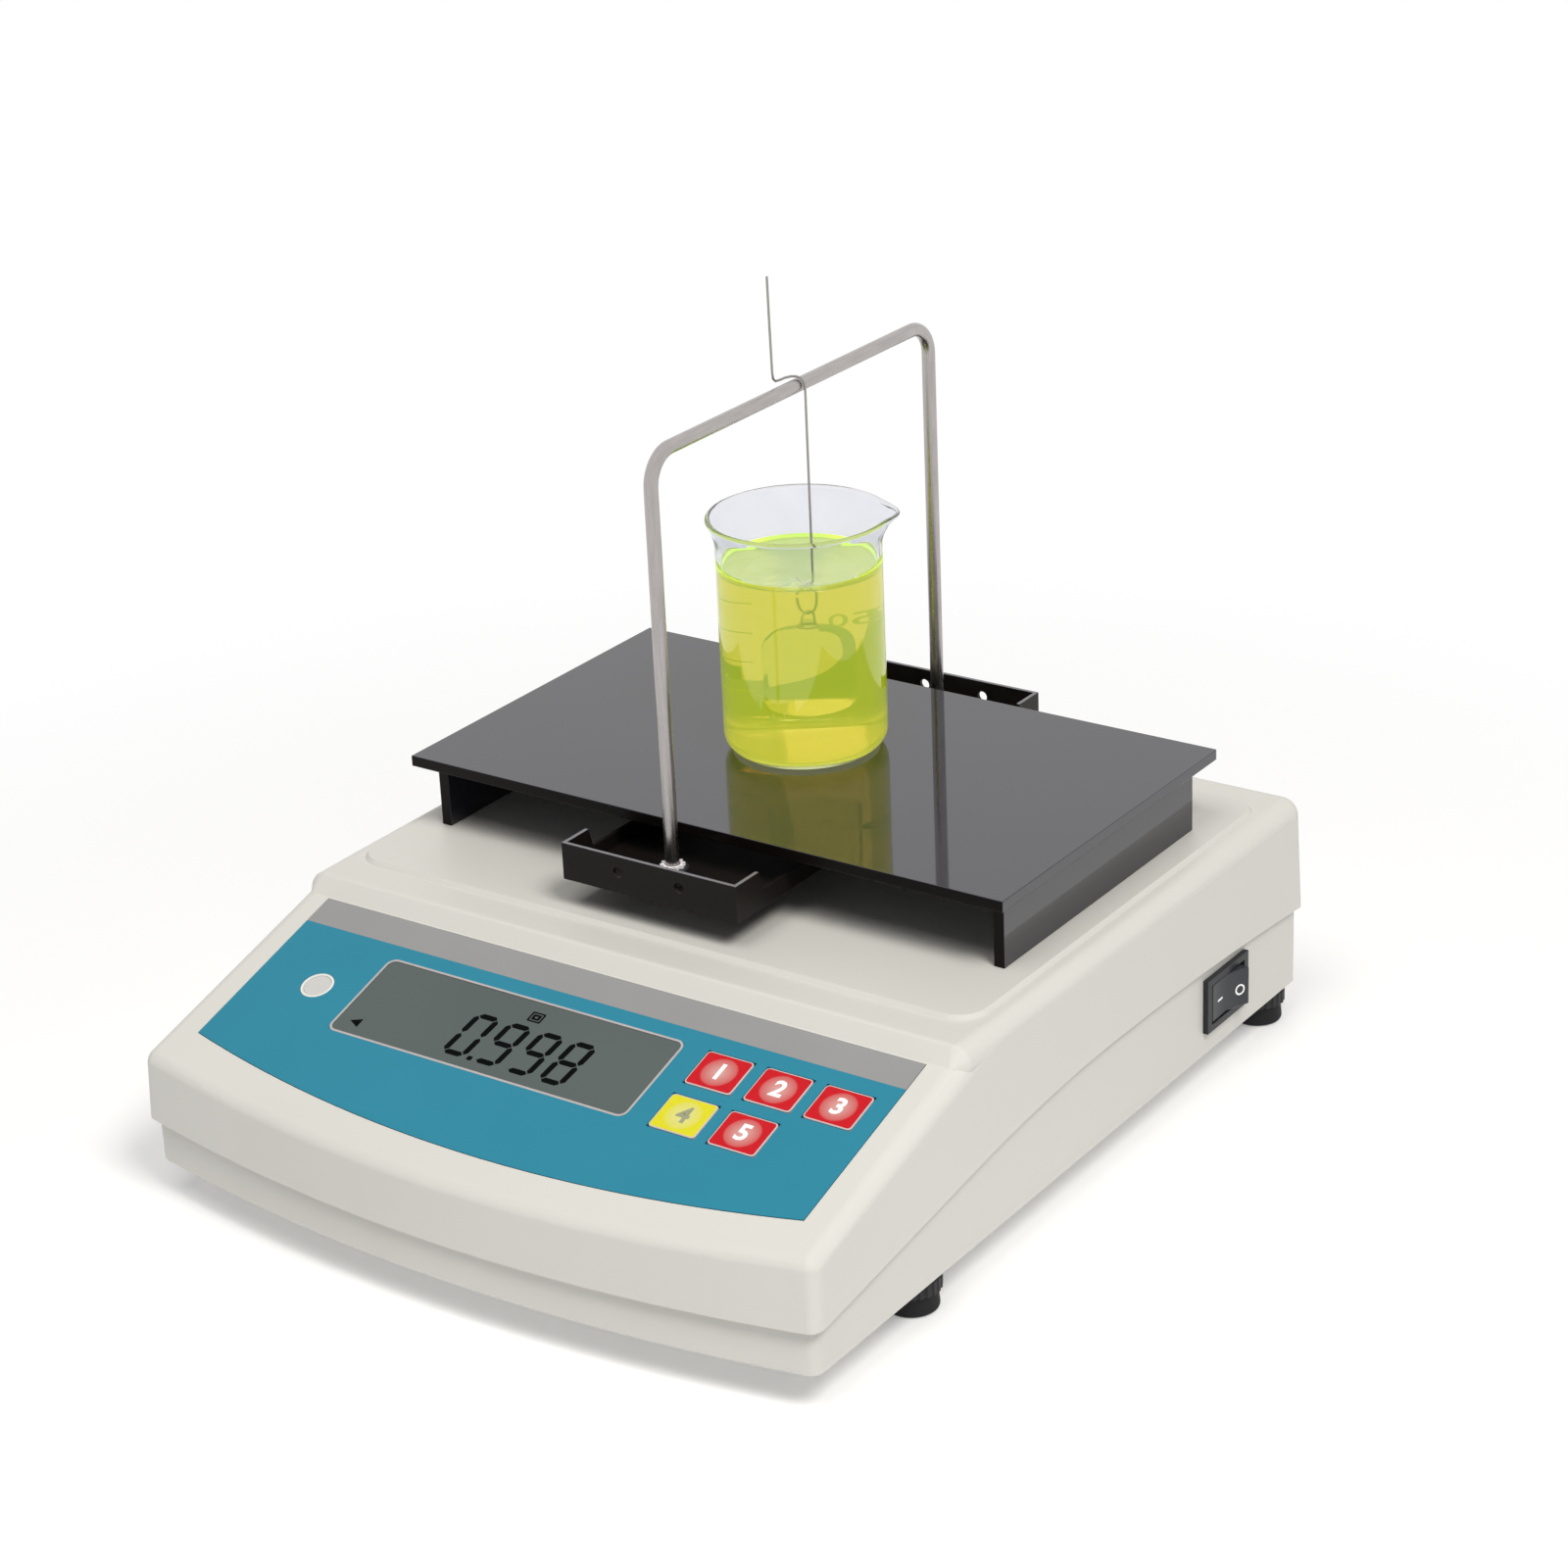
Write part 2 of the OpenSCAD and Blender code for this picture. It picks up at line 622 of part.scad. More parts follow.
module sinker() color("#dfe6e4") {
    top = sinker_span[1];
    neck = 1.7;
    round = 6;
    translate([sinker_at[0], sinker_at[1], 0]) rotate_extrude($fn = 64)
        polygon(concat([[0, sinker_span[0]]],
            arc([sinker_r - 1.5, sinker_span[0] + 1.5], 1.5, -90, 0, 5),
            arc([sinker_r - round, top - round], round, 0, 76, 8),
            [[neck, top + 0.1], [neck, top + 1.5], [neck - 0.5, top + 2], [0, top + 2]]));
}

module sinker_loop() color(STEEL) {
    loop_r = 2.1;
    thin = 0.26;
    low = sinker_span[1] + 0.55;
    high = hook_z + wire_r + 0.1 + thin - loop_r;
    arch = [for (a = [0:15:180]) [0, loop_r * cos(a), high + loop_r * sin(a)]];
    translate([sinker_at[0], sinker_at[1], 0]) {
        rotate_extrude($fn = 48) translate([loop_r, low]) circle(r = 0.34, $fn = 16);
        tube(concat([[0, loop_r, low]], arch, [[0, -loop_r, low]]), thin, 10);
    }
}

// ---- Table and vessel ----

module table_top() color("#2a2a2d") {
    translate([-table_size[0] / 2, table_y - table_size[1] / 2, table_z - table_size[2]]) cube(table_size);
}

module table_leg(side) color("#222225") {
    x = side * (table_size[0] / 2 - leg_inset[0] - leg_t / 2) - leg_t / 2;
    depth = table_size[1] - 2 * leg_inset[1];
    translate([x, table_y - depth / 2, pad_z]) cube([leg_t, depth, table_z - table_size[2] - pad_z]);
}

module beaker() color("#dfe9e6") {
    r = beaker_r;
    h = beaker_h;
    lip = r + 2.2;
    outer = concat([[0, 0.5], [r - 8, 0.5], [r - 7, 0]], arc([r - 5, 5], 5, -90, 0, 6),
        [[r, h - 6], [r + 0.5, h - 3.6], [lip - 0.4, h - 1.4], [lip, h - 0.7], [lip - 0.2, h - 0.1], [lip - 0.7, h]]);
    inner = concat([[lip - 1.3, h - 0.5], [r - 0.6, h - 3], [r - glass, h - 6]],
        arc([r - glass - 4, 6], 4, 0, -90, 6), [[0, 2]]);
    translate([beaker_at[0], beaker_at[1], table_z]) rotate([0, 0, spout_angle]) difference() {
        union() {
            rotate_extrude($fn = 72) polygon(concat(outer, inner));
            hull() {
                for (a = [-16:8:16]) rotate([0, 0, a]) translate([lip - 1.6, 0, h - 7]) cylinder(r = 0.8, h = 7, $fn = 16);
                translate([r + 3.6, 0, h - 1]) sphere(r = 0.8, $fn = 16);
            }
        }
        hull() {
            for (a = [-13:13:13]) rotate([0, 0, a]) translate([r - 3.2, 0, h - 6]) cylinder(r = 1.6, h = 8, $fn = 16);
            translate([r + 3, 0, h + 0.4]) sphere(r = 0.9, $fn = 16);
        }
    }
}

// ---- Switch, inlet and leads ----

rocker_x = case_hw - 1.5;   // X of the rocker's pivot
flange_x = case_hw + 1.5;

module rocker_housing() color(BLACK) {
    well = [17, 11];
    translate([0, rocker_at[0], rocker_at[1]]) difference() {
        union() {
            translate([case_hw, -rocker_size[0] / 2, -rocker_size[1] / 2])
                cube([flange_x - case_hw, rocker_size[0], rocker_size[1]]);
            translate([case_hw - 15, -9.6, -6.4]) cube([15, 19.2, 12.8]);
            for (y = [-6, 0, 6]) translate([case_hw - 22, y - 2.4, -0.4]) cube([8, 4.8, 0.8]);
        }
        translate([case_hw - 9, -well[0] / 2, -well[1] / 2]) cube([20, well[0], well[1]]);
        translate([rocker_x, 0, -6.2]) cylinder(r = 1.03, h = 12.4, $fn = 32);
    }
}

module rocker_paddle() color("#26262a") {
    half = 7.2;
    body = [[4.3, half], [2.7, 0], [4.3, -half], [2.2, -half + 0.1], [-1.6, -5], [-3.4, -2.4],
        [-3.8, 0], [-3.4, 2.4], [-1.6, 5], [2.2, half - 0.1]];
    translate([rocker_x, rocker_at[0], rocker_at[1]]) rotate([0, 0, -rocker_tilt]) {
        translate([0, 0, -5.2]) linear_extrude(10.4) polygon(body);
        translate([0, 0, -6]) cylinder(r = 0.98, h = 12, $fn = 32);
    }
}

module dc_inlet() color(BLACK) {
    translate([inlet_at[0], case_rear, inlet_at[1]]) rotate([-90, 0, 0]) difference() {
        union() {
            translate([0, 0, 0]) cylinder(r = 5.2, h = 1.2, $fn = 48);
            translate([0, 0, -12]) cylinder(r = 4, h = 12.5, $fn = 48);
        }
        translate([0, 0, -9]) cylinder(r = 2.75, h = 12, $fn = 48);
    }
}

module dc_inlet_nut() color(STEEL) {
    translate([inlet_at[0], case_rear - wall - 2, inlet_at[1]]) rotate([-90, 0, 0]) difference() {
        cylinder(r = 6, h = 2, $fn = 6);
        translate([0, 0, -1]) cylinder(r = 4.03, h = 4, $fn = 48);
    }
}

module dc_inlet_pin() color(STEEL) {
    bar_y(1.05, case_rear - 9, case_rear - 0.5, inlet_at[0], inlet_at[1]);
}

// Leads: hand-set points inside the case, clear of the weighing parts.
inlet_route = [[-50, 105.8, 20], [-50, 102, 20], [-50, 97, 19], [-50, 90, 17], [-51, 80, 15],
    [-54, 60, 13], [-56, 30, 13], [-56, 0, 13], [-54, -20, 14], [-50, -36, 18], [-46, -46, 24],
    [-44, -52, 29], [-43, -56, 33]];
cell_route = [[8, 69, 32], [12, 69, 31], [17, 66, 28], [22, 58, 24], [26, 46, 21], [28, 30, 20],
    [28, 8, 20], [27, -14, 20], [24, -30, 22], [20, -42, 26], [16, -50, 31], [14, -54, 34]];

module inlet_leads() color("#a02020") {
    tube(inlet_route, 1.2, 8);
}

module load_cell_cable() color("#d8d4c8") {
    tube(cell_route, 1.4, 8);
}

// ---- Feet ----

module foot_pad(i) color("#17171a") {
    translate([feet[i][0], feet[i][1], 0]) difference() {
        rotate_extrude($fn = 48) polygon([[0, 0], [6.3, 0], [6.7, 0.5], [6.3, 4.9], [0, 4.9]]);
        translate([0, 0, 1.6]) cylinder(r = stud_r + 0.05, h = 5, $fn = 48);
    }
}

module foot_screw(i) color("#1f1f23") {
    flute = 0.5;
    translate([feet[i][0], feet[i][1], 0]) {
        difference() {
            translate([0, 0, 5.2]) cylinder(r = wheel_r, h = 3.5, $fn = 48);
            for (a = [0:15:345]) rotate([0, 0, a]) translate([wheel_r + 0.1, 0, 4.4])
                cylinder(r = flute, h = 5, $fn = 14);
        }
        translate([0, 0, 1.7]) cylinder(r = stud_r, h = 17.3, $fn = 48);
    }
}

top_cover();
bottom_case();
panel_overlay();
display_window();
lcd_module();
main_board();
board_screws();
keypad_membrane();
key_dome(0);  // key_dome_1
key_dome(1);  // key_dome_2
key_dome(2);  // key_dome_3
key_dome(3);  // key_dome_4
key_dome(4);  // key_dome_5
key(0);  // key_1
key(1);  // key_2
key(2);  // key_3
key(3);  // key_4
key(4);  // key_5
level_cup();
level_vial();
base_plate();
base_screws();
load_cell();
cell_spacer_rear();
cell_spacer_front();
cell_screws_rear();
cell_screws_front();
pan_carrier();
pan_screw();
weighing_tray();
hanging_frame();
frame_bosses();
frame_rings();
frame_nuts();
hanger_wire();
sinker();
sinker_loop();
beaker();
table_top();
table_leg(-1);  // table_leg_left
table_leg(1);  // table_leg_right
rocker_housing();
rocker_paddle();
dc_inlet();
dc_inlet_nut();
dc_inlet_pin();
foot_pad(0);  // foot_pad_1
foot_pad(1);  // foot_pad_2
foot_pad(2);  // foot_pad_3
foot_pad(3);  // foot_pad_4
foot_screw(0);  // foot_screw_1
foot_screw(1);  // foot_screw_2
foot_screw(2);  // foot_screw_3
foot_screw(3);  // foot_screw_4
foot_inserts();
case_screws();
inlet_leads();
load_cell_cable();
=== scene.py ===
import json
import math

import bmesh
import bpy
from mathutils import Matrix, Vector


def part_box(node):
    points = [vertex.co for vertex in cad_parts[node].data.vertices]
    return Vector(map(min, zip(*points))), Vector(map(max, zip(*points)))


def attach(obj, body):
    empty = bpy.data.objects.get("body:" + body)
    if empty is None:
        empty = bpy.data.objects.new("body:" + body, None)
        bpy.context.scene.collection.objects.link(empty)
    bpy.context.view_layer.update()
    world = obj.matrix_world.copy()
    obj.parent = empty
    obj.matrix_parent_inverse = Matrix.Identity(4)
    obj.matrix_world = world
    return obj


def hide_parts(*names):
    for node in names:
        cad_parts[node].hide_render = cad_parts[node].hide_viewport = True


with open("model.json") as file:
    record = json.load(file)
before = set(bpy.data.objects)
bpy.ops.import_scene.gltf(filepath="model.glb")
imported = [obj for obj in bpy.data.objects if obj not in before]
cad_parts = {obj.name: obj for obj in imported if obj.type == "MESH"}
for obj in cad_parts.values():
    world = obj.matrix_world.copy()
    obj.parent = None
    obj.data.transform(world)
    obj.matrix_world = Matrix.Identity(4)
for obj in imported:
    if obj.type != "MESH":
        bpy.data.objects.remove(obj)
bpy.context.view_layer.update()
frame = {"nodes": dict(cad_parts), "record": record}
scene = bpy.context.scene
MM = 0.001


# ---- View -------------------------------------------------------------------
# A long lens looks down on the instrument's front right corner from about 0.95 m, over a white
# table top. A small softbox stands high to the front right, one hangs over the panel, and a weak
# one stands behind. The pale room fills their shadows.

CAMERA_AT = Vector((505.34, -682.25, 458.16)) * MM
CAMERA_TURN = (35.51, 23.48, -2.55)  # azimuth, elevation, roll in degrees
LENS = 86.515
ROOM_STRENGTH = 0.24
SOFTBOXES = (  # name, place and width in metres, watts
    ("front_softbox", (1.0, -0.5, 1.5), 0.6, 24.0),
    ("overhead_softbox", (0.1, -0.75, 1.6), 0.8, 11.0),
    ("rear_softbox", (-1.2, 1.2, 1.0), 1.2, 3.5))
LAMP_AIM = Vector((0, 0, 0.06))
FLOOR_RADIUS = 4.0
FLOOR_DROP = 0.2 * MM  # keeps the floor just clear of the feet
FADE_START, FADE_END = 0.14, 0.42  # metres from the middle of the floor
FADE_LEAST = 0.25  # share of pure white under the instrument: it thins the shadow


def linear(hex_colour):
    """An sRGB hex colour as the linear values that shaders and lamps work in."""
    parts = [int(hex_colour[i:i + 2], 16) / 255 for i in (1, 3, 5)]
    return tuple(p / 12.92 if p <= 0.04045 else ((p + 0.055) / 1.055) ** 2.4
                 for p in parts) + (1.0,)


def add(tree, kind, inputs=None, **settings):
    """Adds one node: its settings, then its sockets, each given a value or a node's output."""
    node = tree.nodes.new(kind)
    for key, value in settings.items():
        setattr(node, key, value)
    for key, value in (inputs or {}).items():
        if isinstance(value, bpy.types.NodeSocket):
            tree.links.new(value, node.inputs[key])
        else:
            node.inputs[key].default_value = value
    return node


azimuth, elevation, roll = (math.radians(a) for a in CAMERA_TURN)
back = Vector((math.sin(azimuth) * math.cos(elevation),
               -math.cos(azimuth) * math.cos(elevation), math.sin(elevation)))
right = Vector((math.cos(azimuth), math.sin(azimuth), 0))
up = back.cross(right)
across = math.cos(roll) * right + math.sin(roll) * up
upward = -math.sin(roll) * right + math.cos(roll) * up
camera_data = bpy.data.cameras.new("camera")
camera_data.lens = LENS
camera_data.sensor_width = 36
camera_data.clip_start = 0.05
camera = bpy.data.objects.new("camera", camera_data)
camera.matrix_world = (Matrix.Translation(CAMERA_AT)
                       @ Matrix((across, upward, back)).transposed().to_4x4())
scene.collection.objects.link(camera)
scene.camera = camera
scene.view_settings.view_transform = "Standard"

room = bpy.data.worlds.new("pale_room")
room.use_nodes = True
scene.world = room
tree = room.node_tree
tree.nodes.clear()
path = add(tree, "ShaderNodeLightPath")
seen = add(tree, "ShaderNodeMath", {0: path.outputs["Is Camera Ray"],
                                    1: path.outputs["Is Glossy Ray"]}, operation="MAXIMUM")
seen = add(tree, "ShaderNodeMath", {0: seen.outputs[0],
                                    1: path.outputs["Is Transmission Ray"]}, operation="MAXIMUM")
lit_room = add(tree, "ShaderNodeBackground", {"Color": linear("#f4f6fa"),
                                              "Strength": ROOM_STRENGTH})
white_room = add(tree, "ShaderNodeBackground", {"Color": (1, 1, 1, 1), "Strength": 1.0})
either = add(tree, "ShaderNodeMixShader", {0: seen.outputs[0], 1: lit_room.outputs[0],
                                           2: white_room.outputs[0]})
add(tree, "ShaderNodeOutputWorld", {"Surface": either.outputs[0]})

for lamp, place, width, power in SOFTBOXES:
    light = bpy.data.lights.new(lamp, "AREA")
    light.size = width
    light.energy = power
    light.color = linear("#fffdf8")[:3]
    holder = bpy.data.objects.new(lamp, light)
    holder.location = place
    holder.rotation_euler = (LAMP_AIM - Vector(place)).to_track_quat("-Z", "Y").to_euler()
    holder.visible_glossy = False
    holder.visible_camera = False
    scene.collection.objects.link(holder)

floor_form = bmesh.new()
bmesh.ops.create_circle(floor_form, cap_ends=True, segments=96, radius=FLOOR_RADIUS)
floor_mesh = bpy.data.meshes.new("floor")
floor_form.to_mesh(floor_mesh)
floor_form.free()
floor = bpy.data.objects.new("floor", floor_mesh)
floor.location = (0, 0, -FLOOR_DROP)
scene.collection.objects.link(floor)
# White laminate: dull and even, so it shows only the shadow, and it fades to the white room.
table_white = bpy.data.materials.new("white_laminate_floor")
table_white.use_nodes = True
tree = table_white.node_tree
tree.nodes.clear()
where = add(tree, "ShaderNodeTexCoord")
distance = add(tree, "ShaderNodeVectorMath", {0: where.outputs["Object"]}, operation="LENGTH")
fade = add(tree, "ShaderNodeMapRange",
           {"Value": distance.outputs["Value"], "From Min": FADE_START, "From Max": FADE_END,
            "To Min": FADE_LEAST}, interpolation_type="SMOOTHSTEP")
laminate = add(tree, "ShaderNodeBsdfDiffuse", {"Color": linear("#fbfbfb")})
beyond = add(tree, "ShaderNodeEmission", {"Color": (1, 1, 1, 1), "Strength": 1.0})
surface = add(tree, "ShaderNodeMixShader", {0: fade.outputs["Result"], 1: laminate.outputs[0],
                                            2: beyond.outputs[0]})
add(tree, "ShaderNodeOutputMaterial", {"Surface": surface.outputs[0]})
floor_mesh.materials.append(table_white)


# ---- Bottom case and top cover ------------------------------------------------
# Two shells moulded in off-white ABS, the cover stepping out over the case. They part along
# a shallow arch. The mould was spark eroded, so the faces are matt with a fine pebble.

ABS_WHITE = "#d2d0cb"
ABS_SHADE = "#cbc9c3"
SPARK_GRAIN = 0.9 * MM  # real grain is about 0.1 mm: drawn coarser so that it shows
WELD = 2e-6  # metres
FLAT_DEGREES = 0.4  # faces that meet at less than this become one
LEAST_BEVEL_DEGREES = 32

body_of_node = {node: body for body, nodes in frame["record"]["behaviour"]["bodies"].items()
                for node in nodes}


def finish(name, **principled):
    """A new material with its Principled shader, ready for the nodes that vary it."""
    material = bpy.data.materials.new(name)
    material.use_nodes = True
    shader = material.node_tree.nodes["Principled BSDF"]
    for key, value in principled.items():
        shader.inputs[key.replace("_", " ")].default_value = value
    return material


def mottle(material, colours, size, bump=None, rough=None, detail=4.0, stretch=(1, 1, 1)):
    """Varies a material by noise of a real size: its colour, and if asked for, its relief
    (strength, depth) and its roughness (from, to)."""
    tree = material.node_tree
    shader = tree.nodes["Principled BSDF"]
    where = add(tree, "ShaderNodeTexCoord")
    scaled = add(tree, "ShaderNodeMapping", {"Vector": where.outputs["Object"],
                                             "Scale": stretch})
    grain = add(tree, "ShaderNodeTexNoise", {"Vector": scaled.outputs[0], "Scale": 1 / size,
                                             "Detail": detail})
    tint = add(tree, "ShaderNodeMix", {"Factor": grain.outputs["Fac"], 6: linear(colours[0]),
                                       7: linear(colours[1])}, data_type="RGBA")
    tree.links.new(tint.outputs[2], shader.inputs["Base Color"])
    if bump:
        relief = add(tree, "ShaderNodeBump", {"Height": grain.outputs["Fac"],
                                              "Strength": bump[0], "Distance": bump[1]})
        tree.links.new(relief.outputs[0], shader.inputs["Normal"])
    if rough:
        spread = add(tree, "ShaderNodeMapRange", {"Value": grain.outputs["Fac"],
                                                  "To Min": rough[0], "To Max": rough[1]})
        tree.links.new(spread.outputs["Result"], shader.inputs["Roughness"])
    return material


def ripple(material, size, strength, depth, detail=0.0, edge=0.5):
    """Gives a material a relief of its own size: a moulded pebble or the waves of blown glass."""
    tree = material.node_tree
    where = add(tree, "ShaderNodeTexCoord")
    wave = add(tree, "ShaderNodeTexNoise", {"Vector": where.outputs["Object"],
                                            "Scale": 1 / size, "Detail": detail,
                                            "Roughness": edge})
    relief = add(tree, "ShaderNodeBump", {"Height": wave.outputs["Fac"], "Strength": strength,
                                          "Distance": depth})
    tree.links.new(relief.outputs[0], tree.nodes["Principled BSDF"].inputs["Normal"])
    return material


def skin(name, node, material, sharp=30, bevel=0.0, segments=2):
    """A welded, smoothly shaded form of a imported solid, its edges eased, standing for it."""
    mesh = frame["nodes"][node].data.copy()
    mesh.name = name
    form = bmesh.new()
    form.from_mesh(mesh)
    bmesh.ops.remove_doubles(form, verts=form.verts, dist=WELD)
    bmesh.ops.dissolve_limit(form, angle_limit=math.radians(FLAT_DEGREES), verts=form.verts,
                             edges=form.edges)
    for face in form.faces:
        face.smooth = True
        face.material_index = 0
    for edge in form.edges:
        edge.smooth = (len(edge.link_faces) == 2
                       and edge.calc_face_angle(0) < math.radians(sharp))
    form.to_mesh(mesh)
    form.free()
    mesh.materials.clear()
    mesh.materials.append(material)
    piece = bpy.data.objects.new(name, mesh)
    scene.collection.objects.link(piece)
    if bevel:
        ease = piece.modifiers.new("eased_edges", "BEVEL")
        ease.width = bevel
        ease.segments = segments
        ease.limit_method = "ANGLE"
        ease.angle_limit = math.radians(max(sharp, LEAST_BEVEL_DEGREES))
        ease.use_clamp_overlap = True
    even = piece.modifiers.new("even_faces", "WEIGHTED_NORMAL")
    even.keep_sharp = True
    even.weight = 60
    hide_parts(node)
    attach(piece, body_of_node[node])
    return piece


# Spark-eroded skin: soft wide highlights, a faint pebble, and almost no change of colour.
abs_white = finish("abs_spark_textured_off_white", Roughness=0.46, IOR=1.53,
                   Specular_IOR_Level=0.35)
mottle(abs_white, (ABS_SHADE, ABS_WHITE), 70 * MM, detail=2.0)
ripple(abs_white, SPARK_GRAIN, 0.16, 0.06 * MM, detail=3.0, edge=0.6)
skin("case_moulding", "bottom_case", abs_white, sharp=25)
skin("cover_moulding", "top_cover", abs_white, sharp=25)


# ---- Feet -------------------------------------------------------------------
# Four levelling feet: a moulded black thumbwheel on a stud, in a turned brass insert,
# with a rubber pad on the stud's end. Plain black, slightly dusty.

# Moulded nylon: dull black, a little greyer where it is rubbed.
wheel_black = finish("moulded_black_nylon_wheel", Roughness=0.5, IOR=1.53,
                     Specular_IOR_Level=0.35)
mottle(wheel_black, ("#1c1c1f", "#262629"), 3 * MM, bump=(0.2, 0.05 * MM), rough=(0.42, 0.6))
# Rubber: hardly any shine, a slightly uneven skin.
pad_black = finish("black_rubber_pad", Roughness=0.75, IOR=1.52, Specular_IOR_Level=0.3)
mottle(pad_black, ("#141416", "#202023"), 2 * MM, bump=(0.3, 0.06 * MM), rough=(0.65, 0.85))
for i in range(1, 5):
    skin(f"foot_wheel_{i}", f"foot_screw_{i}", wheel_black, bevel=0.25 * MM)
    skin(f"foot_rest_{i}", f"foot_pad_{i}", pad_black, bevel=0.3 * MM)


def dress(material, *nodes):
    """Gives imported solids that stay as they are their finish."""
    for node in nodes:
        for holder in frame["nodes"][node].material_slots:
            holder.material = material


# Turned brass: dull gold with rings round its axis, wider than the real ones.
brass = finish("turned_brass", Metallic=1.0, Roughness=0.3)
mottle(brass, ("#a88a45", "#c4a456"), 1.5 * MM, rough=(0.22, 0.4), stretch=(1, 1, 6))
dress(brass, "foot_inserts")


# ---- Inside the housing -------------------------------------------------------
# The works that a service engineer would see with the cover off: plate, weighing cell with
# its spacers and screws, carrier, board with its parts, display module, domes and leads.

# Zinc plating: cool grey, cloudy, with a half-bright shine.
zinc = finish("zinc_plated_steel", Metallic=1.0, Roughness=0.34)
mottle(zinc, ("#9fa3a6", "#c3c6c8"), 2.5 * MM, rough=(0.26, 0.44), bump=(0.1, 0.02 * MM))
dress(zinc, "base_plate", "base_screws", "cell_screws_rear", "cell_screws_front",
      "case_screws", "board_screws", "dc_inlet_nut", "pan_screw", "frame_nuts")
# Milled aluminium: pale, with the cutter's marks about 0.6 mm apart, drawn out lengthwise.
milled = finish("milled_aluminium", Metallic=1.0, Roughness=0.36)
mottle(milled, ("#b4b7ba", "#cdd0d2"), 0.6 * MM, bump=(0.25, 0.03 * MM), rough=(0.3, 0.45),
       stretch=(1, 0.1, 1))
dress(milled, "load_cell", "cell_spacer_rear", "cell_spacer_front", "pan_carrier")
# Solder mask: a thin green lacquer, glossy and uneven over the copper.
solder_mask = finish("green_solder_mask", Roughness=0.35, Coat_Weight=0.3, Coat_Roughness=0.2)
mottle(solder_mask, ("#24573a", "#35764e"), 4 * MM, bump=(0.2, 0.05 * MM))
dress(solder_mask, "main_board")
# Printed polyester: flat grey, satin.
contact_sheet = finish("printed_polyester_sheet", Roughness=0.5)
mottle(contact_sheet, ("#7f8487", "#94999c"), 3 * MM)
dress(contact_sheet, "keypad_membrane")
# Rolled spring steel: bright, hardly blurred.
spring_steel = finish("bright_spring_steel", Metallic=1.0, Roughness=0.2)
mottle(spring_steel, ("#c2c1bd", "#d6d5d0"), 0.8 * MM, rough=(0.15, 0.3))
dress(spring_steel, *[f"key_dome_{i}" for i in range(1, 6)])
# The display's moulded frame: grey-green and dull, as the glass over it is.
display_frame = finish("display_module_frame", Roughness=0.5)
mottle(display_frame, ("#4d5450", "#626a66"), 3 * MM, rough=(0.4, 0.6))
dress(display_frame, "lcd_module")
# Soft PVC: even colour with a waxy shine.
red_lead = finish("red_pvc_lead", Roughness=0.4)
mottle(red_lead, ("#941a1a", "#ae2626"), 5 * MM)
dress(red_lead, "inlet_leads")
cream_lead = finish("cream_pvc_cable", Roughness=0.45)
mottle(cream_lead, ("#cfcab9", "#ddd8ca"), 5 * MM)
dress(cream_lead, "load_cell_cable")


# ---- Panel overlay ------------------------------------------------------------
# A polyester sheet printed from behind: blue field, grey band along its top, pale line round
# the window. Its bowed lower edge follows the case. It lies in a pocket of the cover.

PANEL_TOP = (0, -46 * MM, 59 * MM)  # middle of the panel's upper edge, in its face
PANEL_SLOPE = math.radians(16.9)
PANEL = Matrix.Translation(PANEL_TOP) @ Matrix.Rotation(PANEL_SLOPE, 4, "X")
BAND_HIGH = 11.5 * MM
FIELD_BLUE = "#2d8199"
FIELD_DEEP = "#297c93"
BAND_GREY = "#929292"
BAND_SHADE = "#8d8d8e"

# Print seen through polyester: an even colour under a silky face, whose grain of about
# 0.1 mm is drawn coarser.
field_blue = finish("blue_printed_polyester", Roughness=0.42, IOR=1.57, Specular_IOR_Level=0.12)
mottle(field_blue, (FIELD_DEEP, FIELD_BLUE), 24 * MM, detail=2.0)
ripple(field_blue, 0.7 * MM, 0.08, 0.02 * MM, detail=2.0)
band_grey = finish("grey_printed_polyester", Roughness=0.42, IOR=1.57, Specular_IOR_Level=0.12)
mottle(band_grey, (BAND_SHADE, BAND_GREY), 20 * MM, detail=2.0)
overlay = skin("overlay_sheet", "panel_overlay", field_blue, sharp=20)
overlay.data.materials.append(band_grey)
form = bmesh.new()
form.from_mesh(overlay.data)
bmesh.ops.bisect_plane(form, geom=form.verts[:] + form.edges[:] + form.faces[:], dist=1e-7,
                       plane_co=PANEL @ Vector((0, -BAND_HIGH, 0)),
                       plane_no=PANEL.to_3x3() @ Vector((0, 1, 0)))
for face in form.faces:
    if (PANEL.inverted() @ face.calc_center_median()).y > -BAND_HIGH:
        face.material_index = 1
form.to_mesh(overlay.data)
form.free()


# ---- Display ------------------------------------------------------------------
# A reflective liquid crystal display under a clear acrylic window that lies flush in the
# overlay. Ground grey-green, segments near black, slanted, each with a hair's gap to the next.

WINDOW = (-13.5, -29.3, 88.6, 26.0)  # centre x, y, width, height on the panel
LINE_OUT, LINE_IN = 1.0, -0.2  # the printed line's sizes against the window's
LINE_LOW, LINE_TOP = 0.02, 0.14
DIGIT_WIDE, DIGIT_HIGH, DIGIT_PITCH, DIGIT_LEAN = 7.3, 14.8, 9.65, 1.0
DIGITS_LEFT, DIGITS_LOW = -25.0, -39.4
STROKE, STROKE_GAP = 1.6, 0.22
POINT = (-16.8, -38.8, 1.4, 1.4, 0.3, 2)  # centre x, y, width, height, radius, steps
ARROW = [(-54.2, -38.1), (-51.1, -36.7), (-51.1, -39.6)]
STATUS_AT = (-9.4, -21.2)
STATUS_SQUARES = ((3.9, 3.3, 0.3), (2.9, 2.4, 0.2), (2.3, 1.8, 0.2), (0.9, 0.6, 0.1))
INK_LOW, INK_TOP = -0.02, 0.03


